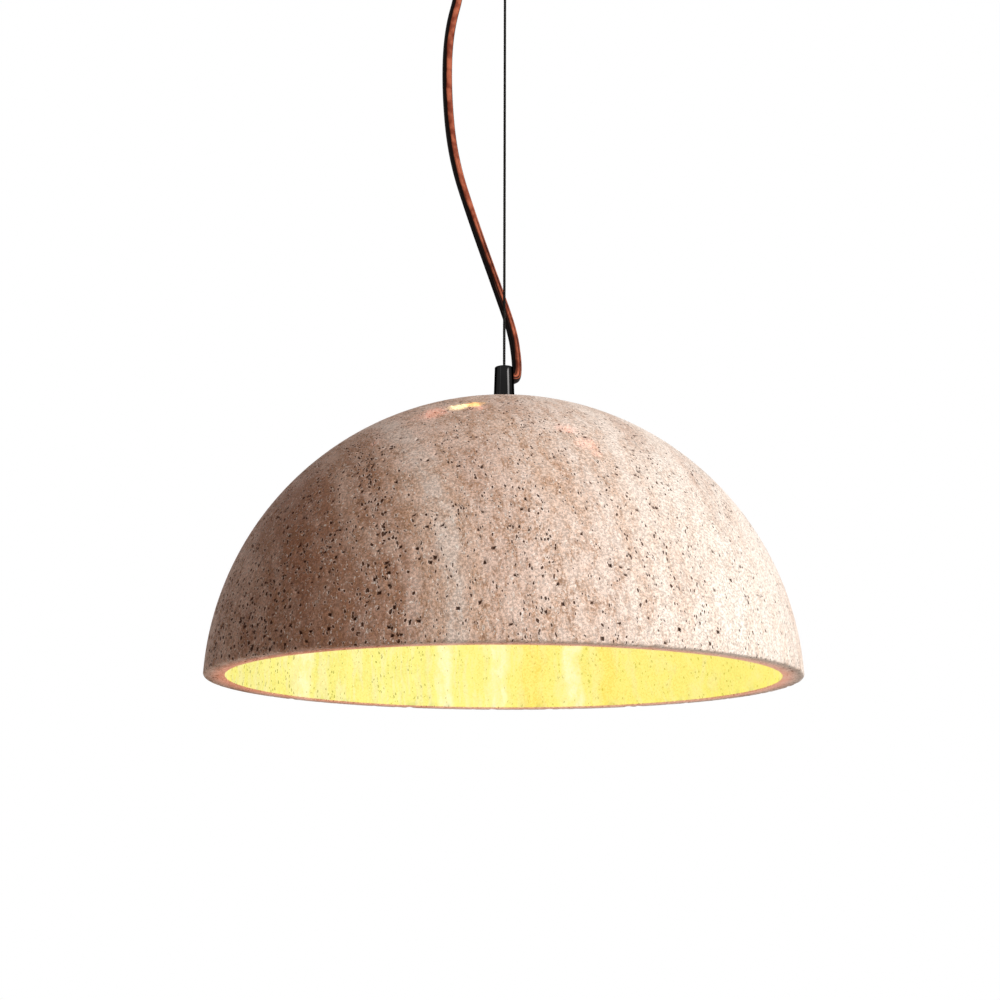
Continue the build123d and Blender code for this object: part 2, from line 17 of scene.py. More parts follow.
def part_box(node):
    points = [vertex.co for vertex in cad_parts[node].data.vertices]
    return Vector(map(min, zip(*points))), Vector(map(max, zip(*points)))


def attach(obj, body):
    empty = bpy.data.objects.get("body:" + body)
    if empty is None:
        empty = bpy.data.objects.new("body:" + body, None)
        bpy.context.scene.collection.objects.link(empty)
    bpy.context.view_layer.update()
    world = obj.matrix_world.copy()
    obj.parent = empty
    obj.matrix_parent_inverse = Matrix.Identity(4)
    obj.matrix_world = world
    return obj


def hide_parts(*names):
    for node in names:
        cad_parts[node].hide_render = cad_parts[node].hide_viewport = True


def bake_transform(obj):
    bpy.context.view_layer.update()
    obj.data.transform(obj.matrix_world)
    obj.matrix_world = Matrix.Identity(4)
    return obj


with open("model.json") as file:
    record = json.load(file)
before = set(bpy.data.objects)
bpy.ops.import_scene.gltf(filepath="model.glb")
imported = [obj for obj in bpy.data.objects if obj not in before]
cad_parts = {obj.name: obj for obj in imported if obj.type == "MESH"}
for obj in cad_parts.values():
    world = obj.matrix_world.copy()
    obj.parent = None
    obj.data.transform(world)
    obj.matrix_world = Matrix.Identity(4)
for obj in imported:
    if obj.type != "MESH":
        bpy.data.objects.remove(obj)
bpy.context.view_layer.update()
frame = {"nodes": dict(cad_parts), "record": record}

# %% [markdown]
# The photograph fixes the camera. It stands a metre in front of the wire, a little below the rim,
# and looks up by 13 degrees, so the far edge of the rim shows under the near one. Its focal length
# is written in the photograph's pixels, and the sensor is as wide as the picture.

# %% Places that the camera and the pieces share
MM = 0.001
picture_width = 1000.0
focal_pixels = 1474.0
camera_distance = 1.0
camera_below_rim = 0.1116
rim_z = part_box("stone_shade")[0].z
stone_radius = 200 * MM
stone_wall = 14 * MM
sphere_z = rim_z - 5.6 * MM
inner_radius = stone_radius - stone_wall
crown_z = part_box("stone_shade")[1].z
print("rim", round(rim_z, 4), "crown", round(crown_z, 4))

# %% Camera
camera_data = bpy.data.cameras.new("camera")
camera_data.sensor_fit = "HORIZONTAL"
camera_data.sensor_width = 36.0
camera_data.lens = camera_data.sensor_width * focal_pixels / picture_width
camera_data.clip_start = 0.02
camera_data.clip_end = 60.0
camera = bpy.data.objects.new("camera", camera_data)
bpy.context.scene.collection.objects.link(camera)
yaw, pitch, roll = math.radians(0.155), math.radians(13.42), math.radians(-0.16)
turn = Matrix.Rotation(yaw, 4, "Z") @ Matrix.Rotation(pitch, 4, "X")
turn = turn @ Matrix.Rotation(roll, 4, "Y")
upright = Matrix.Rotation(math.radians(90), 4, "X")
stand = Matrix.Translation((0, -camera_distance, rim_z - camera_below_rim))
camera.matrix_world = stand @ turn @ upright
bpy.context.scene.camera = camera
print("lens", round(camera_data.lens, 2), "mm")

# %% [markdown]
# Materials are node trees, and writing each node by hand takes several lines. This small class
# adds a node, sets or links its inputs, and hands back a socket, so a material reads like a recipe.

# %% A short way to write node trees
class Graph:
    """Adds nodes to one tree. An input may be a number, a colour or another node's socket."""

    def __init__(self, tree):
        self.tree = tree

    def add(self, kind, inputs=None, **settings):
        node = self.tree.nodes.new("ShaderNode" + kind)
        for name, value in settings.items():
            setattr(node, name, value)
        for name, value in (inputs or {}).items():
            self.feed(node.inputs[name], value)
        return node

    def feed(self, socket, value):
        if isinstance(value, bpy.types.NodeSocket):
            self.tree.links.new(value, socket)
        else:
            socket.default_value = value

    def math(self, operation, a, b=0.0, clamp=False):
        return self.add("Math", {0: a, 1: b}, operation=operation, use_clamp=clamp).outputs[0]

    def plus(self, a, b, clamp=False):
        return self.math("ADD", a, b, clamp)

    def minus(self, a, b):
        return self.math("SUBTRACT", a, b)

    def times(self, a, b, clamp=False):
        return self.math("MULTIPLY", a, b, clamp)

    def greater(self, a, b):
        return self.math("MAXIMUM", a, b)

    def distance(self, value, place):
        """How far a value lies from a place, on either side of it."""
        return self.math("ABSOLUTE", self.minus(value, place))

    def between(self, value, low, high, at_low=0.0, at_high=1.0):
        """A smooth step: at_low below low, at_high above high."""
        inputs = {"Value": value, "From Min": low, "From Max": high,
                  "To Min": at_low, "To Max": at_high}
        return self.add("MapRange", inputs, interpolation_type="SMOOTHSTEP").outputs["Result"]

    def mix(self, factor, a, b, blend="MIX"):
        """Two colours mixed. The Mix node has them at sockets 6 and 7, and the result at 2."""
        node = self.add("Mix", {0: factor, 6: a, 7: b}, data_type="RGBA", blend_type=blend)
        return node.outputs[2]

    def stretch(self, vector, scale, turned=(0, 0, 0), moved=(0, 0, 0)):
        inputs = {"Vector": vector, "Scale": scale, "Rotation": turned, "Location": moved}
        return self.add("Mapping", inputs).outputs["Vector"]

    def noise(self, vector, scale, detail=2.0, rough=0.5):
        inputs = {"Vector": vector, "Scale": scale, "Detail": detail, "Roughness": rough}
        return self.add("TexNoise", inputs).outputs["Fac"]

    def here(self):
        return self.add("TexCoord").outputs["Object"]

    def painted(self, name):
        return self.add("Attribute", attribute_name=name).outputs["Fac"]


def effect(name, inputs, outputs):
    """A shader node group with named sockets. It returns the group, its graph and its two ends."""
    tree = bpy.data.node_groups.new(name, "ShaderNodeTree")
    for label, kind, value in inputs:
        socket = tree.interface.new_socket(label, in_out="INPUT", socket_type="NodeSocket" + kind)
        if value is not None:
            socket.default_value = value
    for label, kind in outputs:
        tree.interface.new_socket(label, in_out="OUTPUT", socket_type="NodeSocket" + kind)
    start = tree.nodes.new("NodeGroupInput")
    end = tree.nodes.new("NodeGroupOutput")
    return tree, Graph(tree), start.outputs, end.inputs


def material(name, **sockets):
    """A material with one Principled BSDF, its constants set on its own sockets."""
    made = bpy.data.materials.new(name)
    made.use_nodes = True
    shader = made.node_tree.nodes["Principled BSDF"]
    for label, value in sockets.items():
        shader.inputs[label.replace("_", " ")].default_value = value
    return made, Graph(made.node_tree), shader.inputs


def placed(graph, tree, **inputs):
    """A group put into a material's tree, with its own values."""
    node = graph.add("Group", node_tree=tree)
    for label, value in inputs.items():
        graph.feed(node.inputs[label], value)
    return node.outputs


materials = {}
print("materials are made next")

# %% [markdown]
# Travertine was laid down in beds, and the block was turned so that they stand almost upright and
# lean to the right. Every pattern in the stone follows them. The first group turns Object
# coordinates until X runs across the beds, bends them a little, and squeezes them along the beds,
# so that plain noise read there comes out as bands.

# %% Group: the stone's bedding
bed_normal = Vector((0.927, 0.371, 0.046)).normalized()
bed_turn = (0.0, math.radians(2.84), math.radians(-21.8))
bedding, graph, given, out = effect(
    "bedding", [("Vector", "Vector", None), ("Along", "Float", 0.12)],
    [("Across", "Float"), ("Bands", "Vector")])
from_centre = {0: given["Vector"], 1: (0, 0, sphere_z)}
centred = graph.add("VectorMath", from_centre, operation="SUBTRACT").outputs[0]
turned_beds = graph.stretch(centred, (1, 1, 1), bed_turn)
split = graph.add("SeparateXYZ", {0: turned_beds}).outputs
slow_bend = graph.times(graph.minus(graph.noise(centred, 9.0, 1.0), 0.5), 0.020)
quick_bend = graph.times(graph.minus(graph.noise(centred, 48.0, 3.0), 0.5), 0.009)
across = graph.plus(split["X"], graph.plus(slow_bend, quick_bend))
along_y = graph.times(split["Y"], given["Along"])
along_z = graph.times(split["Z"], given["Along"])
graph.feed(out["Across"], across)
graph.feed(out["Bands"], graph.add("CombineXYZ", {0: across, 1: along_y, 2: along_z}).outputs[0])
print("bedding group", len(bedding.nodes), "nodes")

# %% [markdown]
# The holes in travertine were gas bubbles and plant stems. They are a millimetre or two wide, drawn
# out along the beds, and crowd together in the browner bands. Voronoi cells give one hole each: a
# point is in a hole when it is nearer to the cell's seed than a radius, which differs from cell to
# cell and shrinks to nothing where Amount is low. The points are nudged first, so that the holes
# aren't round. Mask is 1 in a hole, Edge is 1 on the thin lip round it, where the stone material
# paints a highlight, and Height falls towards the middle of the hole.

# %% Group: pores
pores, graph, given, out = effect(
    "pores", [("Vector", "Vector", None), ("Scale", "Float", 300.0), ("Amount", "Float", 0.5)],
    [("Mask", "Float"), ("Edge", "Float"), ("Height", "Float")])
widest = 0.62                # the largest hole's radius, as a share of its cell
wander_scale = graph.times(given["Scale"], 2.2)
wander = graph.add("TexNoise", {"Vector": given["Vector"], "Scale": wander_scale})
from_middle = {0: wander.outputs["Color"], 1: (0.5, 0.5, 0.5)}
nudged = graph.add("VectorMath", from_middle, operation="SUBTRACT")
nudge_size = graph.math("DIVIDE", 0.55, given["Scale"])
shortened = {0: nudged.outputs[0], "Scale": nudge_size}
nudge = graph.add("VectorMath", shortened, operation="SCALE").outputs[0]
loose = graph.add("VectorMath", {0: given["Vector"], 1: nudge}, operation="ADD").outputs[0]
cells = graph.add("TexVoronoi", {"Vector": loose, "Scale": given["Scale"], "Randomness": 1.0})
chance = graph.add("SeparateColor", {0: cells.outputs["Color"]}).outputs["Red"]
passed = graph.plus(given["Amount"], chance)
size = graph.times(graph.minus(passed, 1.0), widest, clamp=True)
depth = graph.minus(size, cells.outputs["Distance"])
graph.feed(out["Mask"], graph.between(depth, 0.0, 0.08))
there = graph.times(graph.between(depth, -0.05, 0.0, 1.0, 0.0), graph.between(size, 0.0, 0.05))
graph.feed(out["Edge"], graph.times(graph.between(depth, -0.13, -0.04), there))
graph.feed(out["Height"], graph.between(depth, -0.05, 0.22, 1.0, 0.0))
print("pores group", len(pores.nodes), "nodes")

# %% [markdown]
# Metals and plastics share a fine unevenness: faint smears that change how much they shine, and a
# grain too small to see one by one. One group makes both from noise at the size that each finish
# needs.

# %% Group: surface grain
grain, graph, given, out = effect(
    "surface grain",
    [("Vector", "Vector", None), ("Smear size", "Float", 60.0), ("Grain size", "Float", 1500.0),
     ("Roughness", "Float", 0.3), ("Spread", "Float", 0.1)],
    [("Roughness", "Float"), ("Height", "Float"), ("Tone", "Float")])
smears = graph.noise(given["Vector"], given["Smear size"], 4.0, 0.6)
fine = graph.noise(given["Vector"], given["Grain size"], 2.0)
shift = graph.times(graph.minus(smears, 0.5), given["Spread"])
graph.feed(out["Roughness"], graph.plus(given["Roughness"], shift, clamp=True))
graph.feed(out["Height"], fine)
graph.feed(out["Tone"], smears)
print("surface grain group", len(grain.nodes), "nodes")

# %% [markdown]
# The stone itself comes next, in layers. Its colours run from the cream of the lit side to the
# painted shade in a hole. Four pale veins and one dark bed lie at places that are measured across
# the beds, in metres from the lamp's axis. The dark bed lies on the left, away from the lamps, and
# is partly painted shade.

# %% Colours and beds of the stone
pale_stone = (0.88, 0.812, 0.740, 1)
warm_and_shaded_stone = (0.88, 0.685, 0.580, 1)
tan_stone = (0.69, 0.478, 0.348, 1)
brown_stone = (0.40, 0.190, 0.112, 1)
vein_stone = (0.90, 0.80, 0.72, 1)
fleck_brown = (0.43, 0.245, 0.145, 1)
speck_and_highlight_white = (0.97, 0.91, 0.84, 1)
hole_shade_brown = (0.060, 0.022, 0.011, 1)
vein_places = (-0.098, 0.023, 0.066, 0.118)
vein_half_width = 0.0032
# The dark bed is on the left, away from the lamps: partly a real bed, partly painted shade.
dark_bed_and_shade = -0.156
stone_shine = 0.08           # the specular level of rough stone
print("veins at", vein_places, "dark bed at", dark_bed_and_shade)

# %% [markdown]
# Tan beds lie on a cream ground. They come from three scales of noise read through the bedding
# group: broad bands, thin laminae, and a mottle that is drawn out only a little. Towards the left,
# away from the lamps, the stone is warmer and busier, which is partly its own beds and partly
# painted shade. The mesh brings painted values for what has to follow its shape: brown says how
# brown a bed is, and it is laid on in patches.

# %% Material: travertine, ground and beds
stone, graph, shader = material("travertine", Roughness=0.62, Specular_IOR_Level=stone_shine)
where = graph.here()
beds = placed(graph, bedding, Vector=where, Along=0.12)
drawn_out = placed(graph, bedding, Vector=where, Along=0.50)["Bands"]
brown = graph.painted("brown")
broad = graph.noise(graph.stretch(beds["Bands"], (44, 60, 60)), 1.0, 2.0)
laminae = graph.noise(graph.stretch(beds["Bands"], (230, 230, 230)), 1.0, 3.0, 0.6)
hair = graph.noise(graph.stretch(beds["Bands"], (900, 500, 500)), 1.0, 2.0)
speckle = graph.noise(where, 640.0, 3.0, 0.8)
mottle = graph.noise(drawn_out, 130.0, 4.0, 0.65)
# Warmer and tanner towards the left, away from the lamps: partly own colour, partly painted shade.
warmth_and_shade = graph.between(beds["Across"], 0.075, -0.100)
busy_and_shaded = graph.between(beds["Across"], 0.060, -0.060, 0.35, 1.0)
thin_bands = graph.between(laminae, 0.5, 0.66, 0.0, 0.20)
bands = graph.plus(graph.between(broad, 0.46, 0.60, 0.0, 0.42), thin_bands)
tanness = graph.plus(bands, graph.between(mottle, 0.44, 0.58, 0.0, 0.38), clamp=True)
ground = graph.mix(warmth_and_shade, pale_stone, warm_and_shaded_stone)
colour = graph.mix(graph.times(tanness, busy_and_shaded), ground, tan_stone)
streaky = graph.plus(graph.times(mottle, 0.6), graph.times(laminae, 0.4))
patchy = graph.between(streaky, 0.36, 0.62, 0.25, 1.0)
colour = graph.mix(graph.times(brown, patchy), colour, brown_stone)
off_bed = graph.distance(beds["Across"], dark_bed_and_shade)
in_dark_bed_and_shade = graph.between(off_bed, 0.008, 0.026, 0.78, 0.0)
dark_share = graph.times(in_dark_bed_and_shade, graph.between(mottle, 0.3, 0.6, 0.6, 1.0))
colour = graph.mix(dark_share, colour, brown_stone)
print("ground and beds", len(stone.node_tree.nodes), "nodes")

# %% [markdown]
# Over the beds lie the pale veins, a few millimetres wide, and brown flecks and white specks of
# clear crystal, which are finer than a millimetre or two. Last, a fine speckle and hair-thin lines
# multiply the colour.

# %% Travertine: flecks, veins and specks
flecks = graph.between(graph.noise(drawn_out, 600.0, 3.0, 0.8), 0.49, 0.57)
fleck_ground = graph.plus(mottle, graph.times(laminae, 0.5))
fleck_share = graph.times(graph.between(fleck_ground, 0.66, 0.86, 0.16, 0.80), busy_and_shaded)
colour = graph.mix(graph.times(flecks, fleck_share), colour, fleck_brown)
vein = 0.0
for vein_place in vein_places:
    off_vein = graph.distance(beds["Across"], vein_place)
    in_vein = graph.between(off_vein, vein_half_width, 2.6 * vein_half_width, 1.0, 0.0)
    vein = graph.plus(vein, in_vein)
vein = graph.times(vein, graph.between(mottle, 0.42, 0.60, 1.0, 0.4))
colour = graph.mix(graph.times(vein, 0.66), colour, vein_stone)
specks = graph.between(graph.noise(drawn_out, 820.0, 2.0, 0.6), 0.62, 0.68)
colour = graph.mix(graph.times(specks, graph.times(busy_and_shaded, 0.9)), colour, speck_and_highlight_white)
fine = graph.between(speckle, 0.40, 0.60, 0.67, 1.15)
fine = graph.times(graph.between(hair, 0.3, 0.7, 0.96, 1.03), fine)
fine_grey = graph.add("CombineColor", {0: fine, 1: fine, 2: fine}).outputs[0]
colour = graph.mix(1.0, colour, fine_grey, "MULTIPLY")
print("flecks, veins and specks", len(stone.node_tree.nodes), "nodes")

# %% [markdown]
# Two sizes of pore dent the surface and darken it with painted shade in the holes, and their lips
# take a painted highlight. They crowd in clusters and in brown beds, and keep off the veins. The
# painted value hole adds the modelled holes, and inside is 1 on the lit inner face, whose own
# colour is dark because all of its light is a painted glow.

# %% Travertine: pores and relief
clusters = graph.noise(graph.stretch(beds["Bands"], (95, 60, 60)), 1.0, 3.0, 0.6)
crowd = graph.plus(graph.between(clusters, 0.40, 0.64, 0.22, 0.72), graph.times(brown, 0.5))
crowd = graph.minus(crowd, graph.times(vein, 0.35))
many = graph.plus(graph.times(crowd, 0.44), 0.42)
few = graph.plus(graph.times(crowd, 0.40), 0.08)
small = placed(graph, pores, Vector=drawn_out, Scale=590.0, Amount=many)
large = placed(graph, pores, Vector=drawn_out, Scale=350.0, Amount=few)
holes = graph.greater(graph.greater(small["Mask"], large["Mask"]), graph.painted("hole"))
lip_highlights = graph.greater(small["Edge"], large["Edge"])
# The pores' lips take the specks' white as a painted highlight.
colour = graph.mix(graph.times(lip_highlights, 0.60), colour, speck_and_highlight_white)
# Holes are painted dark brown: painted shade in the recesses.
colour = graph.mix(graph.times(holes, 0.90), colour, hole_shade_brown)
inside = graph.painted("inside")
# The inner face takes the same dark colour, because all of its light is a painted glow.
graph.feed(shader["Base Color"], graph.mix(graph.times(inside, 0.6), colour, hole_shade_brown))
graph.feed(shader["Roughness"], graph.between(holes, 0.0, 1.0, 0.56, 0.95))
relief = graph.plus(small["Height"], graph.times(large["Height"], 1.6))
relief = graph.plus(relief, graph.times(speckle, 0.30))
bump = graph.add("Bump", {"Strength": 0.75, "Distance": 0.0009, "Height": relief})
graph.feed(shader["Normal"], bump.outputs[0])
print("pores and relief", len(stone.node_tree.nodes), "nodes")

# %% [markdown]
# Light is painted onto the stone in three ways, which are all colours on the emission socket,
# masked by the painted value inside. The inner face has a painted yellow glow for the bulb's light,
# paler in the veins and orange in two bands on the right. The saw cut of the rim has a painted red
# glow towards the hollow.

# %% Glow of the inner face and the rim
glow_yellow = (0.75, 0.755, 0.18, 1)
glow_pale = (0.79, 0.80, 0.42, 1)
glow_orange = (0.77, 0.63, 0.075, 1)
shaded_hole_glow = (0.30, 0.26, 0.03, 1)
rim_glow_red = (0.40, 0.125, 0.062, 1)
dark = (0, 0, 0, 1)
orange_bands = ((0.092, 0.008), (0.138, 0.005))      # place across the beds, half width
glow = graph.mix(graph.between(laminae, 0.45, 0.62, 0.0, 0.55), glow_yellow, glow_pale)
glow = graph.mix(graph.between(beds["Across"], -0.02, 0.15, 0.0, 0.40), glow, glow_orange)
glow = graph.mix(vein, glow, glow_pale)
for band_place, half_width in orange_bands:
    off_band = graph.distance(beds["Across"], band_place)
    in_band = graph.between(off_band, 0.4 * half_width, 1.6 * half_width, 0.8, 0.0)
    in_band = graph.times(in_band, graph.between(mottle, 0.3, 0.6, 0.5, 1.0))
    glow = graph.mix(in_band, glow, glow_orange)
glow = graph.mix(graph.between(flecks, 0.2, 0.9, 0.0, 0.12), glow, glow_orange)
hole_share = graph.between(beds["Across"], 0.08, -0.02, 0.15, 0.5)
# Holes in the inner face glow less: painted shade in the holes.
glow = graph.mix(graph.times(holes, hole_share), glow, shaded_hole_glow)
# The rim's red is a painted glow, not the stone's own colour.
rim_glow = graph.mix(graph.between(inside, 0.02, 0.30), dark, rim_glow_red)
light = graph.mix(graph.between(inside, 0.40, 0.95), rim_glow, glow)
print("glow", len(stone.node_tree.nodes), "nodes")

# %% [markdown]
# The third way is where the wall is clear enough to let light out: a bright spot near the crown and
# some faint pink ones. Each is a soft spot round a point on the outer face, broken up by the beds.
# The distance to the point is taken in coordinates that are squeezed sideways and from front to
# back, which draws the spots out level. The mottle shifts the distance, so their borders wander.

# %% Light that leaks through the wall
leak_white = (1.0, 0.80, 0.40, 1)
leak_orange = (1.0, 0.52, 0.08, 1)
leak_pink = (0.50, 0.15, 0.09, 1)
leaks = (
    ((-0.0290, -0.1040, rim_z + 0.1634), 0.0080, leak_white, 2.4),
    ((-0.0190, -0.1020, rim_z + 0.1650), 0.0070, leak_orange, 2.6),
    ((-0.0450, -0.1050, rim_z + 0.1575), 0.0150, leak_pink, 0.7),
    ((-0.0170, -0.1090, rim_z + 0.1600), 0.0080, leak_pink, 0.8),
    ((0.0380, -0.1300, rim_z + 0.1405), 0.0080, leak_pink, 1.0),
    ((0.0500, -0.1390, rim_z + 0.1290), 0.0090, leak_pink, 1.0),
    ((0.0560, -0.1440, rim_z + 0.1210), 0.0050, leak_pink, 0.6),
    ((-0.0790, -0.1150, rim_z + 0.1330), 0.0060, leak_pink, 0.45),
)
squeeze = (0.85, 0.80, 1.0)
ragged = graph.between(speckle, 0.36, 0.56, 0.5, 1.0)
ragged = graph.times(graph.between(laminae, 0.42, 0.58, 0.45, 1.0), ragged)
on_outside = graph.minus(1.0, inside)
squeezed = graph.stretch(where, squeeze)
for spot, reach, tint, strength in leaks:
    centre = [place * share for place, share in zip(spot, squeeze)]
    away = graph.add("VectorMath", {0: squeezed, 1: centre}, operation="DISTANCE").outputs["Value"]
    away = graph.plus(away, graph.times(graph.minus(mottle, 0.5), 0.9 * reach))
    mask = graph.times(graph.between(away, 0.15 * reach, reach, strength, 0.0), ragged)
    mask = graph.times(mask, on_outside)
    light = graph.mix(1.0, light, graph.mix(mask, dark, tint), "ADD")
graph.feed(shader["Emission Color"], light)
shader["Emission Strength"].default_value = 1.0
materials["travertine"] = stone
print("travertine", len(stone.node_tree.nodes), "nodes")

# %% [markdown]
# The other finishes are simple by comparison: a metal is a colour with full Metallic, a plastic is
# a colour with none, and each takes its smears and grain from the shared group.

# %% Metals and plastics
def finish(slot, colour, metallic, roughness, spread=0.08, smear=60.0, grit=1500.0, bump=0.02,
           **more):
    """One metal, plastic or ceramic. The tone of its colour drifts a little with the smears."""
    made, graph, shader = material(slot, Metallic=metallic, **more)
    marks = placed(graph, grain, Vector=graph.here(), Roughness=roughness, Spread=spread,
                   **{"Smear size": smear, "Grain size": grit})
    darker = tuple(0.82 * part for part in colour[:3]) + (1,)
    tone = graph.between(marks["Tone"], 0.3, 0.7)
    graph.feed(shader["Base Color"], graph.mix(tone, darker, colour))
    graph.feed(shader["Roughness"], marks["Roughness"])
    dents = graph.add("Bump", {"Strength": bump, "Distance": 0.0002, "Height": marks["Height"]})
    graph.feed(shader["Normal"], dents.outputs[0])
    materials[slot] = made


finish("black_nickel", (0.019, 0.0185, 0.0185, 1), 1.0, 0.06, 0.02,
       Specular_Tint=(0.1, 0.1, 0.1, 1))
finish("wire_steel", (0.016, 0.015, 0.014, 1), 1.0, 0.20, 0.1, Specular_Tint=(0.3, 0.3, 0.3, 1))
finish("bright_steel", (0.62, 0.61, 0.60, 1), 1.0, 0.26, 0.12)
finish("zinc_steel", (0.48, 0.49, 0.50, 1), 1.0, 0.38, 0.2, 110.0, bump=0.15)
finish("brass", (0.68, 0.50, 0.22, 1), 1.0, 0.30, 0.16)
finish("cap_metal", (0.70, 0.69, 0.67, 1), 1.0, 0.24, 0.1)
finish("rubber", (0.028, 0.027, 0.027, 1), 0.0, 0.75, 0.1, bump=0.3)
finish("black_plastic", (0.016, 0.016, 0.017, 1), 0.0, 0.36, 0.1, bump=0.12)
finish("white_plastic", (0.80, 0.79, 0.75, 1), 0.0, 0.42, 0.1, bump=0.08)
finish("porcelain", (0.82, 0.80, 0.75, 1), 0.0, 0.20, 0.06, Coat_Weight=0.4)
finish("black_glass", (0.010, 0.010, 0.012, 1), 0.0, 0.08, 0.03)
finish("lead_brown", (0.16, 0.062, 0.028, 1), 0.0, 0.42)
finish("lead_blue", (0.022, 0.075, 0.30, 1), 0.0, 0.42)
finish("lead_green", (0.12, 0.30, 0.05, 1), 0.0, 0.42)
print("finishes", sorted(materials))

# %% [markdown]
# Opal glass is milky, so the whole globe glows instead of a bright point. It is brightest over the
# middle and a little warmer where the glass turns away towards the collar.

# %% Material: opal glass
opal, graph, shader = material("opal_glass", Roughness=0.22)
globe_low, globe_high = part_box("bulb_globe")
height = graph.add("SeparateXYZ", {0: graph.here()}).outputs["Z"]
upper = graph.between(height, globe_low.z, globe_high.z)
graph.feed(shader["Base Color"], graph.mix(upper, (0.92, 0.90, 0.84, 1), (0.86, 0.82, 0.72, 1)))
graph.feed(shader["Emission Color"], graph.mix(upper, (1.0, 0.86, 0.50, 1), (1.0, 0.78, 0.38, 1)))
shader["Emission Strength"].default_value = 4.0
materials["opal_glass"] = opal
print("opal glass between", round(globe_low.z, 4), "and", round(globe_high.z, 4))

# %% [markdown]
# The cord's cover is one strip of rust leather, sewn into a tube. It keeps its rust along the side
# that faces the lamps and is painted nearly black along the side away from them, as painted shade.
# The cord's own UV map carries the pattern: U runs once round it and V runs along it in metres.

# %% Material: leather cord
leather, graph, shader = material("leather_cord", Specular_IOR_Level=0.04)
strip = graph.add("UVMap", uv_map="around").outputs["UV"]
sides = graph.add("SeparateXYZ", {0: strip}).outputs
rust = (0.20, 0.042, 0.021, 1)
rust_light = (0.47, 0.135, 0.072, 1)
# Nearly black is painted shade on the side away from the lamps.
shade_side_black = (0.007, 0.0035, 0.003, 1)
skin = graph.here()
drift = graph.times(graph.minus(graph.noise(skin, 45.0), 0.5), 0.10)
wavy = graph.plus(sides["X"], drift)
lit_face = graph.distance(wavy, 0.665)
on_lit_side = graph.between(lit_face, 0.080, 0.125, 1.0, 0.0)
# Deep grooves lose the rust: painted shade in the folds.
on_lit_side = graph.times(on_lit_side, graph.between(graph.painted("groove"), 0.12, 0.50, 1.0, 0.05))
face = graph.mix(graph.between(graph.noise(skin, 130.0, 4.0), 0.35, 0.65), rust, rust_light)
graph.feed(shader["Base Color"], graph.mix(on_lit_side, shade_side_black, face))
creases = graph.noise(graph.stretch(strip, (60, 420, 1)), 1.0, 4.0, 0.65)
pebbles = graph.add("TexVoronoi", {"Vector": skin, "Scale": 1400.0}).outputs["Distance"]
graph.feed(shader["Roughness"], graph.between(creases, 0.3, 0.7, 0.34, 0.58))
skin_height = graph.plus(creases, graph.times(pebbles, 0.35))
skin_bump = graph.add("Bump", {"Strength": 0.25, "Distance": 0.0004, "Height": skin_height})
graph.feed(shader["Normal"], skin_bump.outputs[0])
materials["leather_cord"] = leather
print("leather cord", len(leather.node_tree.nodes), "nodes")

# %% [markdown]
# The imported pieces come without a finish. Each takes the one that its record names, so that the
# small pieces that aren't rebuilt here are dressed too.

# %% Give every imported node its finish
for part in frame["record"]["subparts"]:
    mesh = frame["nodes"][part["node"]].data
    mesh.materials.clear()
    mesh.materials.append(materials[part["material_slot"]])

# %% [markdown]
# Every new piece ends the same way: its mesh is shaded smooth, takes its finish, stands for the
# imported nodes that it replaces, and rides on the body that carries it.

# %% Helper: put a piece into the scene
def into_scene(bm, name, slot, body, *replaced):
    for face in bm.faces:
        face.smooth = True
    mesh = bpy.data.meshes.new(name)
    bm.to_mesh(mesh)
    bm.free()
    mesh.materials.append(materials[slot])
    piece = bpy.data.objects.new(name, mesh)
    bpy.context.scene.collection.objects.link(piece)
    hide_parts(*replaced)
    if body:
        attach(piece, body)
    print(name, len(mesh.polygons), "faces")
    return piece


# %% [markdown]
# The mains cord is one smooth line from the gland under the ceiling cup to the side of the fitting.
# It bows out to the left, passes behind the wire and drops beside the fitting on the right, where
# it curls in. A NURBS curve of order 3 with a few given points gives that line, and its own points
# are read back as the path that the leather tube follows. The places are in millimetres.

# %% Route of the mains cord
cord_radius = 3.7 * MM
cord_side = math.radians(56)
hole_z = -368.37
stand_off = 16.3
curl = 8.0
half_corner = curl * math.tan(math.radians(22.5))


def beside_fitting(reach, height):
    """A point on the side of the fitting where the cord goes in, in millimetres."""
    return (reach * math.cos(cord_side), reach * math.sin(cord_side), height)


cord_route = [
    (-33.0, 9.0, -18.5),
    (-33.4, 9.0, -52.0),
    (-43.2, 11.0, -90.0),
    (-44.0, 12.0, -140.0),
    (-38.5, 12.5, -194.0),
    (-23.5, 12.5, -243.0),
    (-6.5, 12.5, -293.0),
    (6.0, 12.8, -330.0),
    beside_fitting(stand_off, -352.0),
    beside_fitting(stand_off, hole_z + curl - half_corner),
    beside_fitting(stand_off - curl + half_corner, hole_z),
    beside_fitting(5.6, hole_z),
]


def smooth_line(route, name):
    """The points of the NURBS curve that a route in millimetres controls, in metres."""
    curve = bpy.data.curves.new(name, "CURVE")
    curve.dimensions = "3D"
    curve.resolution_u = 12
    spline = curve.splines.new("NURBS")
    spline.points.add(len(route) - 1)
    for point, place in zip(spline.points, route):
        point.co = (place[0] * MM, place[1] * MM, place[2] * MM, 1.0)
    spline.order_u = 3
    spline.use_endpoint_u = True
    guide = bpy.data.objects.new(name, curve)
    line = bpy.data.meshes.new_from_object(guide)
    points = [vertex.co.copy() for vertex in line.vertices]
    bpy.data.objects.remove(guide)
    bpy.data.meshes.remove(line)
    return points


def line_length(points):
    return sum((b - a).length for a, b in zip(points, points[1:]))


cord_path = smooth_line(cord_route, "cord route")
print("cord path", len(cord_path), "points,", round(line_length(cord_path), 4), "m")

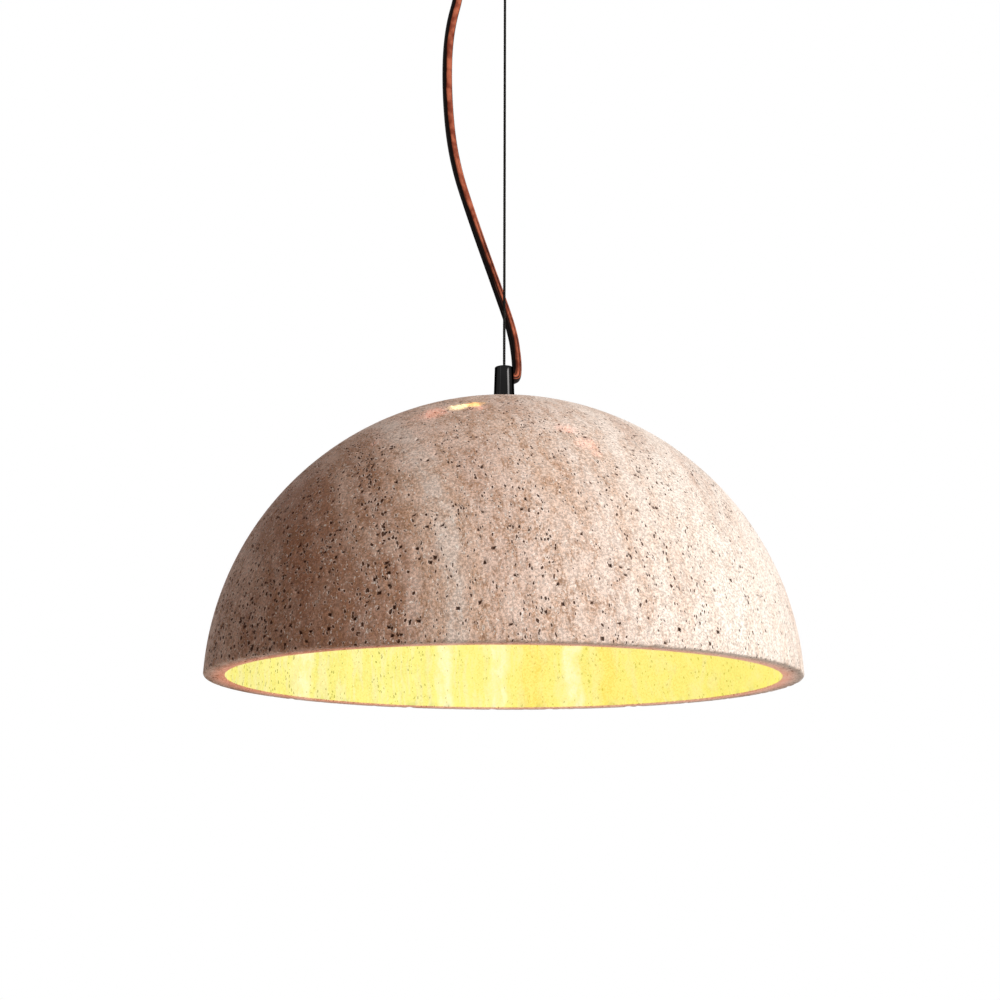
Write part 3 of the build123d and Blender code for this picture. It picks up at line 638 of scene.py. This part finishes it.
# %% [markdown]
# The leather has eight soft folds round the cord. They are flat under the ceiling and deepen
# towards the fitting, where the strip has been pulled tight round its core, and they wind slowly
# round the cord.

# %% Folds of the leather
cord_sides = 64
fold_count = 8
fold_depth = 0.18            # as a share of the cord's radius
flat_share, deepening_share = 0.30, 0.45
fold_narrowing = 2.4
fold_wind = 9.0              # radians of turn per metre


def fold(around, run, whole):
    """How deep the leather is folded in at a place: 0 on a ridge, up to 1 in a groove."""
    deepening = min(1.0, max(0.0, run / whole - flat_share) / deepening_share)
    wave = 0.5 - 0.5 * math.cos(fold_count * around + fold_wind * run)
    wander = 0.6 + 0.4 * noise.noise(Vector((math.cos(around), math.sin(around), 22 * run)))
    return deepening * wander * wave ** fold_narrowing


print("folds", fold_count)

# %% [markdown]
# The tube is a ring of edges that is extruded from one path point to the next. Each ring stands
# square to the path, and its first point keeps to one side, so the tube doesn't twist. Every point
# remembers how far round and how far along it lies, which makes the UV map, and how deep its
# groove is, which the material uses to paint shade into the folds.

# %% Leather tube along the cord's path
def leather_tube(path):
    bm = bmesh.new()
    turn_of = bm.verts.layers.float.new("turn")
    run_of = bm.verts.layers.float.new("run")
    groove_of = bm.verts.layers.float.new("groove")
    made = bmesh.ops.create_circle(bm, segments=cord_sides, radius=cord_radius)
    ring = made["verts"]
    edges = bm.edges[:]
    first_ring, whole, run = ring, line_length(path), 0.0
    side = Vector((-1, 0, 0))
    for step, place in enumerate(path):
        ahead = path[min(step + 1, len(path) - 1)] - path[max(step - 1, 0)]
        ahead.normalize()
        side = (side - ahead * side.dot(ahead)).normalized()
        front = ahead.cross(side)
        if step:
            run += (place - path[step - 1]).length
            grown = bmesh.ops.extrude_edge_only(bm, edges=edges)["geom"]
            edges = [item for item in grown if isinstance(item, bmesh.types.BMEdge)
                     and all(vert in grown for vert in item.verts)]
            ring = [item for item in grown if isinstance(item, bmesh.types.BMVert)]
            ring.sort(key=lambda vert: vert[turn_of])
            edges = [edge for edge in edges if all(vert in ring for vert in edge.verts)]
        for count, vert in enumerate(ring):
            around = 2 * math.pi * count / cord_sides
            groove = fold(around, run, whole)
            reach = cord_radius * (1 - fold_depth * groove)
            vert.co = place + side * (reach * math.cos(around)) + front * (reach * math.sin(around))
            vert[turn_of] = count / cord_sides
            vert[run_of] = run
            vert[groove_of] = groove
    for cap in (first_ring, ring):
        bmesh.ops.contextual_create(bm, geom=cap)
    bmesh.ops.recalc_face_normals(bm, faces=bm.faces[:])
    around_map = bm.loops.layers.uv.new("around")
    for face in bm.faces:
        low = min(vert[turn_of] for vert in face.verts)
        for loop in face.loops:
            turned = loop.vert[turn_of]
            past_seam = low < 0.25 and turned > 0.75
            loop[around_map].uv = (turned - 1.0 if past_seam else turned, loop.vert[run_of])
    return bm


print("tube of", cord_sides, "sides")

# %% [markdown]
# The cord runs from the ceiling rose down to the lamp, and rides on no body.

# %% Mains cord
cord = into_scene(leather_tube(cord_path), "mains_cord", "leather_cord", None, "power_cord")
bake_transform(cord)

# %% [markdown]
# The wire is six strands laid round a core, so its outline is lumpy and light runs along it in
# short dashes. Six small circles round the axis are spun as a screw: each step turns them a little
# and moves them down a little, which is what the stranding machine does.

# %% Suspension wire
wire_radius = 1.0 * MM
strand_count = 6
strand_radius = 0.36 * wire_radius
lay_length = 11 * MM         # one strand goes round the wire once in this length
wire_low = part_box("suspension_wire")[0]
mouth_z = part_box("gripper_plunger")[0].z
wire_route = [(0, 0, z / MM) for z in (mouth_z, (mouth_z + wire_low.z) / 2, wire_low.z)]
wire_path = smooth_line(wire_route, "wire route")
wire_length = line_length(wire_path)


def strands(path):
    bm = bmesh.new()
    start = path[0]
    for strand in range(strand_count):
        angle = 2 * math.pi * strand / strand_count
        reach = wire_radius - strand_radius
        place = Matrix.Translation(start + reach * Vector((math.cos(angle), math.sin(angle), 0)))
        bmesh.ops.create_circle(bm, segments=8, radius=strand_radius, matrix=place)
    steps = int(10 * wire_length / lay_length)
    bmesh.ops.spin(bm, geom=bm.verts[:] + bm.edges[:], cent=start, axis=(0, 0, 1),
                   angle=2 * math.pi * wire_length / lay_length, steps=steps,
                   dvec=(0, 0, -wire_length / steps), use_merge=False)
    core = Matrix.Translation(start - Vector((0, 0, wire_length / 2)))
    bmesh.ops.create_cone(bm, cap_ends=True, segments=10, radius1=strand_radius,
                          radius2=strand_radius, depth=wire_length, matrix=core)
    open_ends = [edge for edge in bm.edges if len(edge.link_faces) == 1]
    bmesh.ops.holes_fill(bm, edges=open_ends, sides=8)
    bmesh.ops.recalc_face_normals(bm, faces=bm.faces[:])
    return bm


wire = into_scene(strands(wire_path), "stranded_wire", "bright_steel", "pendant", "suspension_wire")
wire.data.materials[0] = materials["wire_steel"]

# %% [markdown]
# The shade is a shell that was turned from one block. A sphere made of rings would crowd its faces
# at the crown, so this one starts as a cube: its faces are divided into an even grid, the lower
# half is dropped, and every point is pushed out to the sphere. The last row lands on the rim.

# %% Helper: half a sphere from a divided cube
sphere_centre = Vector((0, 0, sphere_z))


def half_shell(divisions, radius, low_z):
    """An even grid over the sphere above low_z."""
    bm = bmesh.new()
    bmesh.ops.create_cube(bm, size=2.0)
    bmesh.ops.subdivide_edges(bm, edges=bm.edges[:], cuts=divisions - 1, use_grid_fill=True)
    lower = [face for face in bm.faces if face.calc_center_median().z < 0]
    bmesh.ops.delete(bm, geom=lower, context="FACES")
    widen = math.acos((low_z - sphere_z) / radius) / (math.pi / 2)
    for vert in bm.verts:
        even = Vector([math.tan(part * math.pi / 4) for part in vert.co]).normalized()
        polar = math.acos(max(-1.0, min(1.0, even.z))) * widen
        around = math.atan2(even.y, even.x)
        flat = radius * math.sin(polar)
        vert.co = (flat * math.cos(around), flat * math.sin(around),
                   sphere_z + radius * math.cos(polar))
    return bm


# %% Helper: find the borders of an open shell
near_rim = (0.15, 0.30)      # distances from the lamp's axis
near_axis = (0.0, 0.012)


def open_edges(bm, low, high):
    """The border edges whose middles lie between two distances from the lamp's axis."""
    found = []
    for edge in bm.edges:
        middle = (edge.verts[0].co + edge.verts[1].co) / 2
        if len(edge.link_faces) == 1 and low < middle.xy.length < high:
            found.append(edge)
    return found


print("helpers for the shell are ready")

# %% [markdown]
# How brown the stone is follows the beds too. The same value decides where the modelled holes go,
# and it is painted on the points, so that the material browns and pits the same bands. Towards the
# left of the lamp, away from the light, the beds are browner; this is partly the stone's own colour
# and partly painted shade.

# %% Helper: how brown a place in the stone is
def clamp(value):
    return max(0.0, min(1.0, value))


def brownness(place):
    offset = place - sphere_centre
    across = bed_normal.dot(offset)
    along = offset - bed_normal * across
    across += 0.008 * noise.noise(offset * 9)
    band = noise.noise(Vector((across * 62, 3.1, 7.7)) + along * 4.0)
    thin = noise.noise(Vector((across * 210, 8.3, 1.9)) + along * 9.0)
    patch = noise.noise(offset * 26)
    # The browner left is partly the stone's own beds, partly painted shade away from the lamps.
    left = clamp((-0.092 - across) / 0.035)
    near_vein = max(clamp(1 - abs(across - vein_place) / 0.008) for vein_place in vein_places)
    return clamp(0.12 + 0.34 * band + 0.20 * thin + 0.36 * patch + 0.44 * left - 0.45 * near_vein)


print("brownness on the left", round(brownness(Vector((-stone_radius, 0, sphere_z))), 2))

# %% [markdown]
# The outer face is an even grid, and every point of it is nudged a little, which keeps the holes
# that come next from lining up. The points of its border stay where they are, for the rim.

# %% Outer face of the shade
random.seed(11)
rim_round = 1.4 * MM
cell_count = 128
nudge_share = 0.27
shell = half_shell(cell_count, stone_radius, rim_z + rim_round)
brown_of = shell.verts.layers.float.new("brown")
hole_of = shell.verts.layers.float.new("hole")
inside_of = shell.verts.layers.float.new("inside")
cell = stone_radius * (math.pi / 2) / cell_count
for vert in shell.verts:
    if vert.is_boundary:
        continue
    push = Vector([random.uniform(-nudge_share, nudge_share) * cell for axis in range(3)])
    outward = (vert.co + push - sphere_centre).normalized()
    vert.co = sphere_centre + outward * stone_radius
for vert in shell.verts:
    vert[brown_of] = brownness(vert.co)
print("cells of", round(cell / MM, 2), "mm")

# %% [markdown]
# Holes of about two millimetres are modelled. A face of the grid is inset and pushed in, then its
# floor is inset and pushed in again, which leaves a small bowl of one of three depths. Browner beds
# have more of them, and they keep clear of the rim and of the fitting's seat. Smaller holes are
# left to the material.

# %% Holes in the outer face
bowls = {0.00050: [], 0.00065: [], 0.00080: []}      # inset in metres, and the faces that get it
clear_of_rim, clear_of_crown = 2.5 * MM, 11 * MM
side_mark, floor_mark = 0.8, 1.0


def hole_chance(brown_here):
    return 0.010 + 0.07 * brown_here ** 1.3


def sink(faces, thickness, depth, mark):
    """Insets faces of the shell, pushes them in and paints their points as part of a hole."""
    bmesh.ops.inset_individual(shell, faces=faces, thickness=thickness, depth=-depth,
                               use_even_offset=False)
    for face in faces:
        for vert in face.verts:
            vert[hole_of] = mark


for face in shell.faces:
    middle = face.calc_center_median()
    brown_here = sum(vert[brown_of] for vert in face.verts) / 4
    clear = middle.z > rim_z + clear_of_rim and middle.xy.length > clear_of_crown
    if clear and random.random() < hole_chance(brown_here):
        bowls[random.choice(list(bowls))].append(face)
for thickness, faces in bowls.items():
    sink(faces, thickness, 1.2 * thickness, side_mark)
    sink(faces, 0.4 * thickness, 0.8 * thickness, floor_mark)
print("bowls", [len(faces) for faces in bowls.values()], "faces", len(shell.faces))

# %% [markdown]
# The rim is a flat saw cut with worn edges. Its profile runs from the outer face round a small
# corner, across the flat and round the inner corner. The third number of each place says how worn
# the edge is there.

# %% Profile of the rim
rim_round_inside = 0.8 * MM
outer_border = math.sqrt(stone_radius ** 2 - (rim_z + rim_round - sphere_z) ** 2)
inner_border = math.sqrt(inner_radius ** 2 - (rim_z + rim_round_inside - sphere_z) ** 2)
rim_profile = []
for degrees in (30, 60, 90):
    bend = math.radians(degrees)
    rim_profile.append((outer_border - rim_round * (1 - math.cos(bend)),
                        rim_z + rim_round * (1 - math.sin(bend)), 1.0))
flat_start, flat_end = outer_border - rim_round, inner_border + rim_round_inside
for share in (0.12, 0.3, 0.5, 0.7, 0.9, 1.0):
    rim_profile.append((flat_start + share * (flat_end - flat_start), rim_z, 0.8 - share))
for degrees in (45, 90):
    bend = math.radians(degrees)
    rim_profile.append((inner_border + rim_round_inside * (1 - math.sin(bend)),
                        rim_z + rim_round_inside * (1 - math.cos(bend)), 0.0))
print("rim rings", len(rim_profile))

# %% [markdown]
# The outer border is extruded ring by ring along that profile. Where the edge has chipped, a ring
# is pulled in a little, and the saw cut dips here and there. The painted value inside rises
# towards the hollow, where the material lets the rim glow red.

# %% Rim
chip_pitch, chip_size = 34, 2.6 * MM
dip_pitch, dip_size = 21, 0.9 * MM
rim_inside = 0.30            # inside where the rim meets the hollow; the hollow itself has 1


def uneven(around, level, pitch):
    """Smooth noise round the lamp's axis. A greater pitch gives shorter waves."""
    return noise.noise(Vector((math.cos(around), math.sin(around), level)) * pitch)


ring_edges = open_edges(shell, *near_rim)
for radius, height, wear in rim_profile:
    grown = bmesh.ops.extrude_edge_only(shell, edges=ring_edges)["geom"]
    ring_edges = [item for item in grown if isinstance(item, bmesh.types.BMEdge)]
    for vert in [item for item in grown if isinstance(item, bmesh.types.BMVert)]:
        around = math.atan2(vert.co.y, vert.co.x)
        chip = clamp(uneven(around, height * 9, chip_pitch) - 0.25) * clamp(wear) * chip_size
        dip = clamp(uneven(around, radius * 40, dip_pitch) - 0.3) * clamp(1 - abs(wear)) * dip_size
        vert.co = ((radius - chip) * math.cos(around), (radius - chip) * math.sin(around),
                   height + 0.6 * chip + dip)
        vert[brown_of] = brownness(vert.co)
        vert[inside_of] = rim_inside * clamp((outer_border - radius) / stone_wall)
print("rim faces", len(shell.faces))

# %% [markdown]
# The inner face is a coarser half sphere, turned to face the hollow. It joins the same mesh, and
# its border is bridged to the last ring of the rim.

# %% Inner face
inner_cells = 64
hollow = half_shell(inner_cells, inner_radius, rim_z + rim_round_inside)
inner_layer = hollow.verts.layers.float.new("inside")
inner_brown = hollow.verts.layers.float.new("brown")
hollow.verts.layers.float.new("hole")
for vert in hollow.verts:
    vert[inner_layer] = 1.0
    vert[inner_brown] = brownness(vert.co)
bmesh.ops.reverse_faces(hollow, faces=hollow.faces[:])
hollow_mesh = bpy.data.meshes.new("hollow")
hollow.to_mesh(hollow_mesh)
hollow.free()
shell.from_mesh(hollow_mesh)
bpy.data.meshes.remove(hollow_mesh)
bmesh.ops.bridge_loops(shell, edges=open_edges(shell, *near_rim))
print("with the inner face", len(shell.faces), "faces")

# %% [markdown]
# The crown is ground flat for the fitting, and the inner face is flat where the washer presses. The
# faces round the axis go, each border snaps to the drilled hole, and a second bridge makes the
# hole's wall.

# %% Crown and seat
seat_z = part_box("inner_gasket")[1].z
crown_flat, seat_flat, drilled = 8.2 * MM, 20 * MM, 5.6 * MM
for vert in shell.verts:
    reach = vert.co.xy.length
    if reach < crown_flat and vert[inside_of] < 0.5:
        vert.co.z = crown_z
    if reach < seat_flat and vert[inside_of] > 0.5:
        vert.co.z = seat_z
middle_faces = [face for face in shell.faces if face.calc_center_median().xy.length < drilled]
bmesh.ops.delete(shell, geom=middle_faces, context="FACES")
crown_edges = open_edges(shell, *near_axis)
for vert in {vert for edge in crown_edges for vert in edge.verts}:
    vert.co.xy = vert.co.xy.normalized() * drilled
bmesh.ops.bridge_loops(shell, edges=crown_edges)
bmesh.ops.recalc_face_normals(shell, faces=shell.faces[:])
stray = [edge for edge in shell.edges if len(edge.link_faces) != 2]
print("shade faces", len(shell.faces), "open edges", len(stray))
into_scene(shell, "travertine_shade", "travertine", "pendant", "stone_shade")

# %% [markdown]
# The turned pieces are drawn as half outlines, radius and height, and spun round the axis. Sharp
# edges catch light only where they are a little round, so the helper bevels every edge that folds
# by more than 25 degrees.

# %% Helper: turn a piece on a lathe
sharp_angle = math.radians(25)


def lathe(outline, edge=0.0, steps=72, at=(0, 0)):
    """Spins a closed half outline of (radius, height) points, and rounds its edges."""
    bm = bmesh.new()
    points = [bm.verts.new((radius, 0, height)) for radius, height in outline]
    border = [bm.edges.new(pair) for pair in zip(points, points[1:] + points[:1])]
    bmesh.ops.spin(bm, geom=points + border, cent=(0, 0, 0), axis=(0, 0, 1), angle=2 * math.pi,
                   steps=steps, use_merge=True)
    bmesh.ops.remove_doubles(bm, verts=bm.verts[:], dist=1e-6)
    bmesh.ops.recalc_face_normals(bm, faces=bm.faces[:])
    if edge:
        sharp = [item for item in bm.edges
                 if len(item.link_faces) == 2 and item.calc_face_angle() > sharp_angle]
        bmesh.ops.bevel(bm, geom=sharp, offset=edge, offset_type="OFFSET", segments=3, profile=0.5,
                        affect="EDGES", material=-1, clamp_overlap=True)
    bmesh.ops.translate(bm, verts=bm.verts[:], vec=(at[0], at[1], 0))
    return bm


# %% [markdown]
# The fitting is a tapered cap of black nickel. Its top wall holds the wire, its foot screws onto
# the hollow tube through the crown, and the hollow between is where the cord's leads turn down.

# %% Fitting on the crown
fitting_low, fitting_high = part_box("stem_fitting")
top, base = fitting_high.z, fitting_low.z
cavity_top, cavity_floor = top - 2.7 * MM, base + 10 * MM
wire_hole, tube_hole, cavity_radius = 1.15 * MM, 5.05 * MM, 5.5 * MM
fitting_outline = [
    (wire_hole, top), (6.75 * MM, top), (fitting_high.x, base), (tube_hole, base),
    (tube_hole, cavity_floor), (cavity_radius, cavity_floor), (cavity_radius, cavity_top),
    (wire_hole, cavity_top),
]
into_scene(lathe(fitting_outline, 0.5 * MM), "crown_fitting", "black_nickel", "pendant",
           "stem_fitting")

# %% [markdown]
# The rose is a shallow cup of the same metal against the ceiling. Its lower corner is a true
# quarter round, worked out point by point, and the tube that holds it passes through its floor.

# %% Ceiling cup
cup_low, cup_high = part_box("canopy_cup")
cup_radius, cup_floor, cup_wall, cup_corner = cup_high.x, cup_low.z, 1.5 * MM, 4.0 * MM


def corner(radius, height, size, count=6):
    """A quarter round from the side of a cup down to its floor."""
    points = []
    for step in range(count + 1):
        bend = math.pi / 2 * step / count
        points.append((radius - size * (1 - math.cos(bend)), height + size * (1 - math.sin(bend))))
    return points


cup_outline = [(cup_radius, 0.0)] + corner(cup_radius, cup_floor, cup_corner) + [
    (tube_hole, cup_floor), (tube_hole, cup_floor + cup_wall)]
cup_outline += corner(cup_radius - cup_wall, cup_floor + cup_wall, cup_corner - cup_wall)[::-1]
cup_outline += [(cup_radius - cup_wall, 0.0)]
into_scene(lathe(cup_outline, 0.2 * MM, 96), "ceiling_cup", "black_nickel", "ceiling_rose",
           "canopy_cup")

# %% [markdown]
# The wire gripper hangs at the middle of the cup: a small barrel with three grooves for the
# fingers. Its bore narrows downwards, so the wire's pull wedges the balls tight.

# %% Wire gripper
grip_low, grip_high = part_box("gripper_body")
grip_radius, grip_top, grip_floor = grip_high.x, grip_high.z, grip_low.z
groove = 0.35 * MM
grip_outline = [(tube_hole, grip_top), (grip_radius, grip_top)]
for groove_z in (grip_top - 4 * MM, grip_top - 5.2 * MM, grip_top - 6.4 * MM):
    grip_outline += [(grip_radius, groove_z), (grip_radius - groove, groove_z - 0.3 * MM),
                     (grip_radius, groove_z - 0.6 * MM)]
nose_bore, ball_bore = 2.8 * MM, 4.0 * MM
grip_outline += [(grip_radius, grip_floor + 0.8 * MM), (grip_radius - 0.8 * MM, grip_floor),
                 (nose_bore, grip_floor), (nose_bore, grip_floor + 5 * MM),
                 (ball_bore, grip_floor + 11 * MM), (ball_bore, grip_top - 8 * MM),
                 (tube_hole, grip_top - 8 * MM)]
into_scene(lathe(grip_outline, 0.12 * MM), "wire_gripper", "black_nickel", "ceiling_rose",
           "gripper_body")

# %% [markdown]
# Inside the gripper a small spring pushes the nose down. It is one circle of wire, spun as a screw.

# %% Gripper spring
spring_low, spring_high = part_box("gripper_spring")
spring_wire, spring_turns = 0.35 * MM, 3
spring_bm = bmesh.new()
spring_start = Matrix.Translation((spring_high.x - spring_wire, 0, spring_low.z + spring_wire))
bmesh.ops.create_circle(spring_bm, segments=10, radius=spring_wire, matrix=spring_start @ upright)
steps = 28 * spring_turns
climb = spring_high.z - spring_low.z - 2 * spring_wire
bmesh.ops.spin(spring_bm, geom=spring_bm.verts[:] + spring_bm.edges[:], cent=(0, 0, 0),
               axis=(0, 0, 1), angle=2 * math.pi * spring_turns, steps=steps,
               dvec=(0, 0, climb / steps), use_merge=False)
wire_ends = [edge for edge in spring_bm.edges if len(edge.link_faces) == 1]
bmesh.ops.holes_fill(spring_bm, edges=wire_ends, sides=10)
bmesh.ops.recalc_face_normals(spring_bm, faces=spring_bm.faces[:])
spring = into_scene(spring_bm, "nose_spring", "bright_steel", None, "gripper_spring")
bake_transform(spring)

# %% [markdown]
# The gland sits to the left of the gripper and clamps the cord. It tapers to a mouth just wider
# than the cord.

# %% Gland
gland_low, gland_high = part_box("cord_gland")
gland_at = ((gland_low.x + gland_high.x) / 2, (gland_low.y + gland_high.y) / 2)
gland_radius = (gland_high.x - gland_low.x) / 2
gland_bore, gland_thread = cord_radius + 0.12 * MM, 5.6 * MM
gland_outline = [
    (gland_bore, gland_high.z), (gland_thread, gland_high.z), (gland_thread, cup_floor),
    (gland_radius, cup_floor), (gland_radius, cup_floor - 2.5 * MM), (5.2 * MM, gland_low.z),
    (gland_bore, gland_low.z),
]
into_scene(lathe(gland_outline, 0.4 * MM, at=gland_at), "tapered_gland", "black_plastic",
           "ceiling_rose", "cord_gland")

# %% [markdown]
# Under the crown hangs the lampholder: a black cap with a rounded shoulder and a screwed-on skirt.
# They are seen only from below, round the bulb.

# %% Lampholder
cap_low, cap_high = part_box("lampholder_cap")
skirt_low, skirt_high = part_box("lampholder_skirt")
holder_radius, holder_wall = cap_high.x, 2.2 * MM
shoulder = cap_high.z - 8 * MM
cap_outline = [
    (tube_hole, cap_high.z), (8 * MM, cap_high.z), (8 * MM, shoulder),
    (15 * MM, shoulder - 1.5 * MM), (18.2 * MM, shoulder - 3.9 * MM),
    (holder_radius, shoulder - 8 * MM), (holder_radius, cap_low.z),
    (holder_radius - holder_wall, cap_low.z), (holder_radius - holder_wall, shoulder - 8.7 * MM),
    (13.5 * MM, shoulder - 3.7 * MM), (tube_hole, shoulder - 2.2 * MM),
]
into_scene(lathe(cap_outline, 0.3 * MM), "holder_cap", "black_plastic", "pendant", "lampholder_cap")
skirt_bore = 14.25 * MM
skirt_outline = [(skirt_bore, skirt_high.z), (17.7 * MM, skirt_high.z), (17.7 * MM, cap_low.z),
                 (holder_radius, cap_low.z)]
for rib in range(4):
    rib_z = cap_low.z - (4 + 2.2 * rib) * MM
    skirt_outline += [(holder_radius, rib_z), (holder_radius - 0.6 * MM, rib_z - 0.5 * MM),
                      (holder_radius, rib_z - 1.0 * MM)]
skirt_outline += [(holder_radius, skirt_low.z + 2 * MM), (holder_radius - 1.5 * MM, skirt_low.z),
                  (skirt_bore, skirt_low.z)]
into_scene(lathe(skirt_outline, 0.25 * MM), "holder_skirt", "black_plastic", "pendant",
           "lampholder_skirt")

# %% [markdown]
# An E27 thread is a soft wave that climbs 3.6 mm in each turn. The wave is drawn over the height of
# the cap and spun as a screw, one pitch up in one turn, so that its end meets its start one wave
# higher. Cutting it level at both ends leaves the rolled sleeve of a bulb.

# %% Helper: a rolled thread
pitch = 3.6 * MM
rows_per_wave = 10


def rolled_thread(root, crest, low, high, wall):
    """A threaded sleeve between two heights, its wave between two radii."""
    bm = bmesh.new()
    rows = int((high - low + 2 * pitch) / pitch * rows_per_wave)
    points = []
    for row in range(rows + 1):
        height = low - pitch + row * pitch / rows_per_wave
        wave = 0.5 + 0.5 * math.cos(2 * math.pi * height / pitch)
        points.append(bm.verts.new((root + (crest - root) * wave, 0, height)))
    border = [bm.edges.new(pair) for pair in zip(points, points[1:])]
    steps = 60
    bmesh.ops.spin(bm, geom=points + border, cent=(0, 0, 0), axis=(0, 0, 1), angle=2 * math.pi,
                   steps=steps, dvec=(0, 0, pitch / steps), use_merge=False)
    bmesh.ops.remove_doubles(bm, verts=bm.verts[:], dist=1e-5)
    for level, keep_above in ((low, True), (high, False)):
        everything = bm.verts[:] + bm.edges[:] + bm.faces[:]
        bmesh.ops.bisect_plane(bm, geom=everything, plane_co=(0, 0, level), plane_no=(0, 0, 1),
                               clear_inner=keep_above, clear_outer=not keep_above)
    bmesh.ops.recalc_face_normals(bm, faces=bm.faces[:])
    bmesh.ops.solidify(bm, geom=bm.faces[:], thickness=wall)
    return bm


# %% [markdown]
# The bulb: a threaded cap, a white collar that flares into the glass, and an opal globe. The globe
# is an arc with a wall, so its glass has a thickness.

# %% Bulb
bulb_cap_low, bulb_cap_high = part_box("bulb_cap")
cap_radius = bulb_cap_high.x
thread_depth, thread_wall = 0.95 * MM, 0.3 * MM
bulb_thread = rolled_thread(cap_radius - thread_depth, cap_radius, bulb_cap_low.z, bulb_cap_high.z,
                            thread_wall)
into_scene(bulb_thread, "bulb_thread", "cap_metal", "bulb", "bulb_cap")
globe_radius = globe_high.x
globe_z = globe_low.z + globe_radius
neck_z = globe_high.z
neck_radius = math.sqrt(globe_radius ** 2 - (neck_z - globe_z) ** 2)
glass_wall = 1.0 * MM
arc_steps = 30


def globe_arc(radius, start, count):
    """Points down a circle from an angle above its middle to its lowest point."""
    points = []
    for step in range(count + 1):
        angle = start - (start + math.pi / 2) * step / count
        points.append((max(0.0, radius * math.cos(angle)), globe_z + radius * math.sin(angle)))
    return points


neck_angle = math.asin((neck_z - globe_z) / globe_radius)
globe_outline = globe_arc(globe_radius, neck_angle, arc_steps)
globe_outline += globe_arc(globe_radius - glass_wall, neck_angle, arc_steps)[::-1]
into_scene(lathe(globe_outline, 0.0, 80), "opal_globe", "opal_glass", "bulb", "bulb_globe")
collar_top = bulb_cap_low.z + 4 * MM
collar_radius, collar_inset = 13.95 * MM, 12.3 * MM
flare_steps = 8
collar_outline = [(0, collar_top), (collar_inset, collar_top), (collar_inset, bulb_cap_low.z),
                  (collar_radius, bulb_cap_low.z)]
for step in range(1, flare_steps):
    share = step / flare_steps
    flare = collar_radius + (neck_radius - collar_radius) * share ** 1.7
    collar_outline.append((flare, bulb_cap_low.z + (neck_z - bulb_cap_low.z) * share))
collar_outline += [(neck_radius, neck_z), (0, neck_z)]
into_scene(lathe(collar_outline, 0.0, 72), "bulb_flare", "white_plastic", "bulb", "bulb_collar")

# %% [markdown]
# The photograph was lit from the right and a little in front, by something broad and soft. Two area
# lights make it here: a disk at the stone's height shapes the stone, and a rectangle above it is
# mirrored as the stripe on the black fitting. A weak warm light from below lifts the lower left,
# and a narrow strip on the left gives the fitting its second, thinner line.

# %% Lamps
near_white, warm_white = (1.0, 0.985, 0.965), (1.0, 0.74, 0.58)


def lamp(name, shape, width, height, watts, colour, place):
    """An area light that faces the middle of the stone."""
    light = bpy.data.lights.new(name, "AREA")
    light.shape, light.size, light.size_y = shape, width, height
    light.energy = watts
    light.color = colour
    holder = bpy.data.objects.new(name, light)
    bpy.context.scene.collection.objects.link(holder)
    faced = (Vector(place) - sphere_centre).to_track_quat("Z", "Y").to_matrix().to_4x4()
    holder.matrix_world = Matrix.Translation(place) @ faced
    print(name, watts, "W")


lamp("key", "DISK", 0.9, 0.9, 19, near_white, (1.63, -1.37, -0.42))
lamp("upper key", "RECTANGLE", 0.75, 0.9, 36, near_white, (1.62, -1.36, 0.47))
lamp("low fill", "SQUARE", 1.2, 1.2, 0.7, warm_white, (-0.5, -0.9, -1.35))
lamp("strip", "RECTANGLE", 0.12, 1.6, 1.4, (1, 1, 1), (-1.45, -1.35, 0.45))

# %% [markdown]
# The room is white to the camera, in reflections and through glass. As a light it is dim and warm,
# and a little stronger from above, so the left of the stone stays in shade.

# %% Room
world = bpy.data.worlds.new("room")
bpy.context.scene.world = world
world.use_nodes = True
graph = Graph(world.node_tree)
world.node_tree.nodes.clear()
rays = graph.add("LightPath").outputs
seen = graph.greater(rays["Is Camera Ray"], rays["Is Transmission Ray"])
seen = graph.greater(seen, rays["Is Glossy Ray"])
facing = graph.add("SeparateXYZ", {0: graph.add("TexCoord").outputs["Generated"]}).outputs["Z"]
room_light = graph.between(facing, -0.1, 0.9, 0.07, 0.26)
room = graph.add("Background", {"Color": (1.0, 0.68, 0.55, 1), "Strength": room_light}).outputs[0]
white = graph.add("Background", {"Color": (1, 1, 1, 1), "Strength": 1.0}).outputs[0]
shown = graph.add("MixShader", {0: seen, 1: room, 2: white}).outputs[0]
graph.feed(graph.add("OutputWorld").inputs["Surface"], shown)
print("room", len(world.node_tree.nodes), "nodes")

# %% [markdown]
# A pale floor lies well under the lamp, below the camera's view. It is a little mottled, like
# painted plaster, and keeps the lamp's shadow.

# %% Floor
floor_bm = bmesh.new()
bmesh.ops.create_grid(floor_bm, x_segments=8, y_segments=8, size=2.2)
bmesh.ops.translate(floor_bm, verts=floor_bm.verts[:], vec=(0, 0, -1.6))
floor_mesh = bpy.data.meshes.new("floor")
floor_bm.to_mesh(floor_mesh)
floor_bm.free()
floor = bpy.data.objects.new("floor", floor_mesh)
bpy.context.scene.collection.objects.link(floor)
plaster, graph, shader = material("plaster", Roughness=0.85)
clouds = graph.noise(graph.here(), 3.0, 4.0)
graph.feed(shader["Base Color"], graph.mix(clouds, (0.80, 0.79, 0.77, 1), (0.86, 0.85, 0.83, 1)))
floor_mesh.materials.append(plaster)
print("floor at", round(floor_mesh.vertices[0].co.z, 2))

# %% [markdown]
# Last, colours are shown as they are written.

# %% Finish
bpy.context.scene.view_settings.view_transform = "Standard"
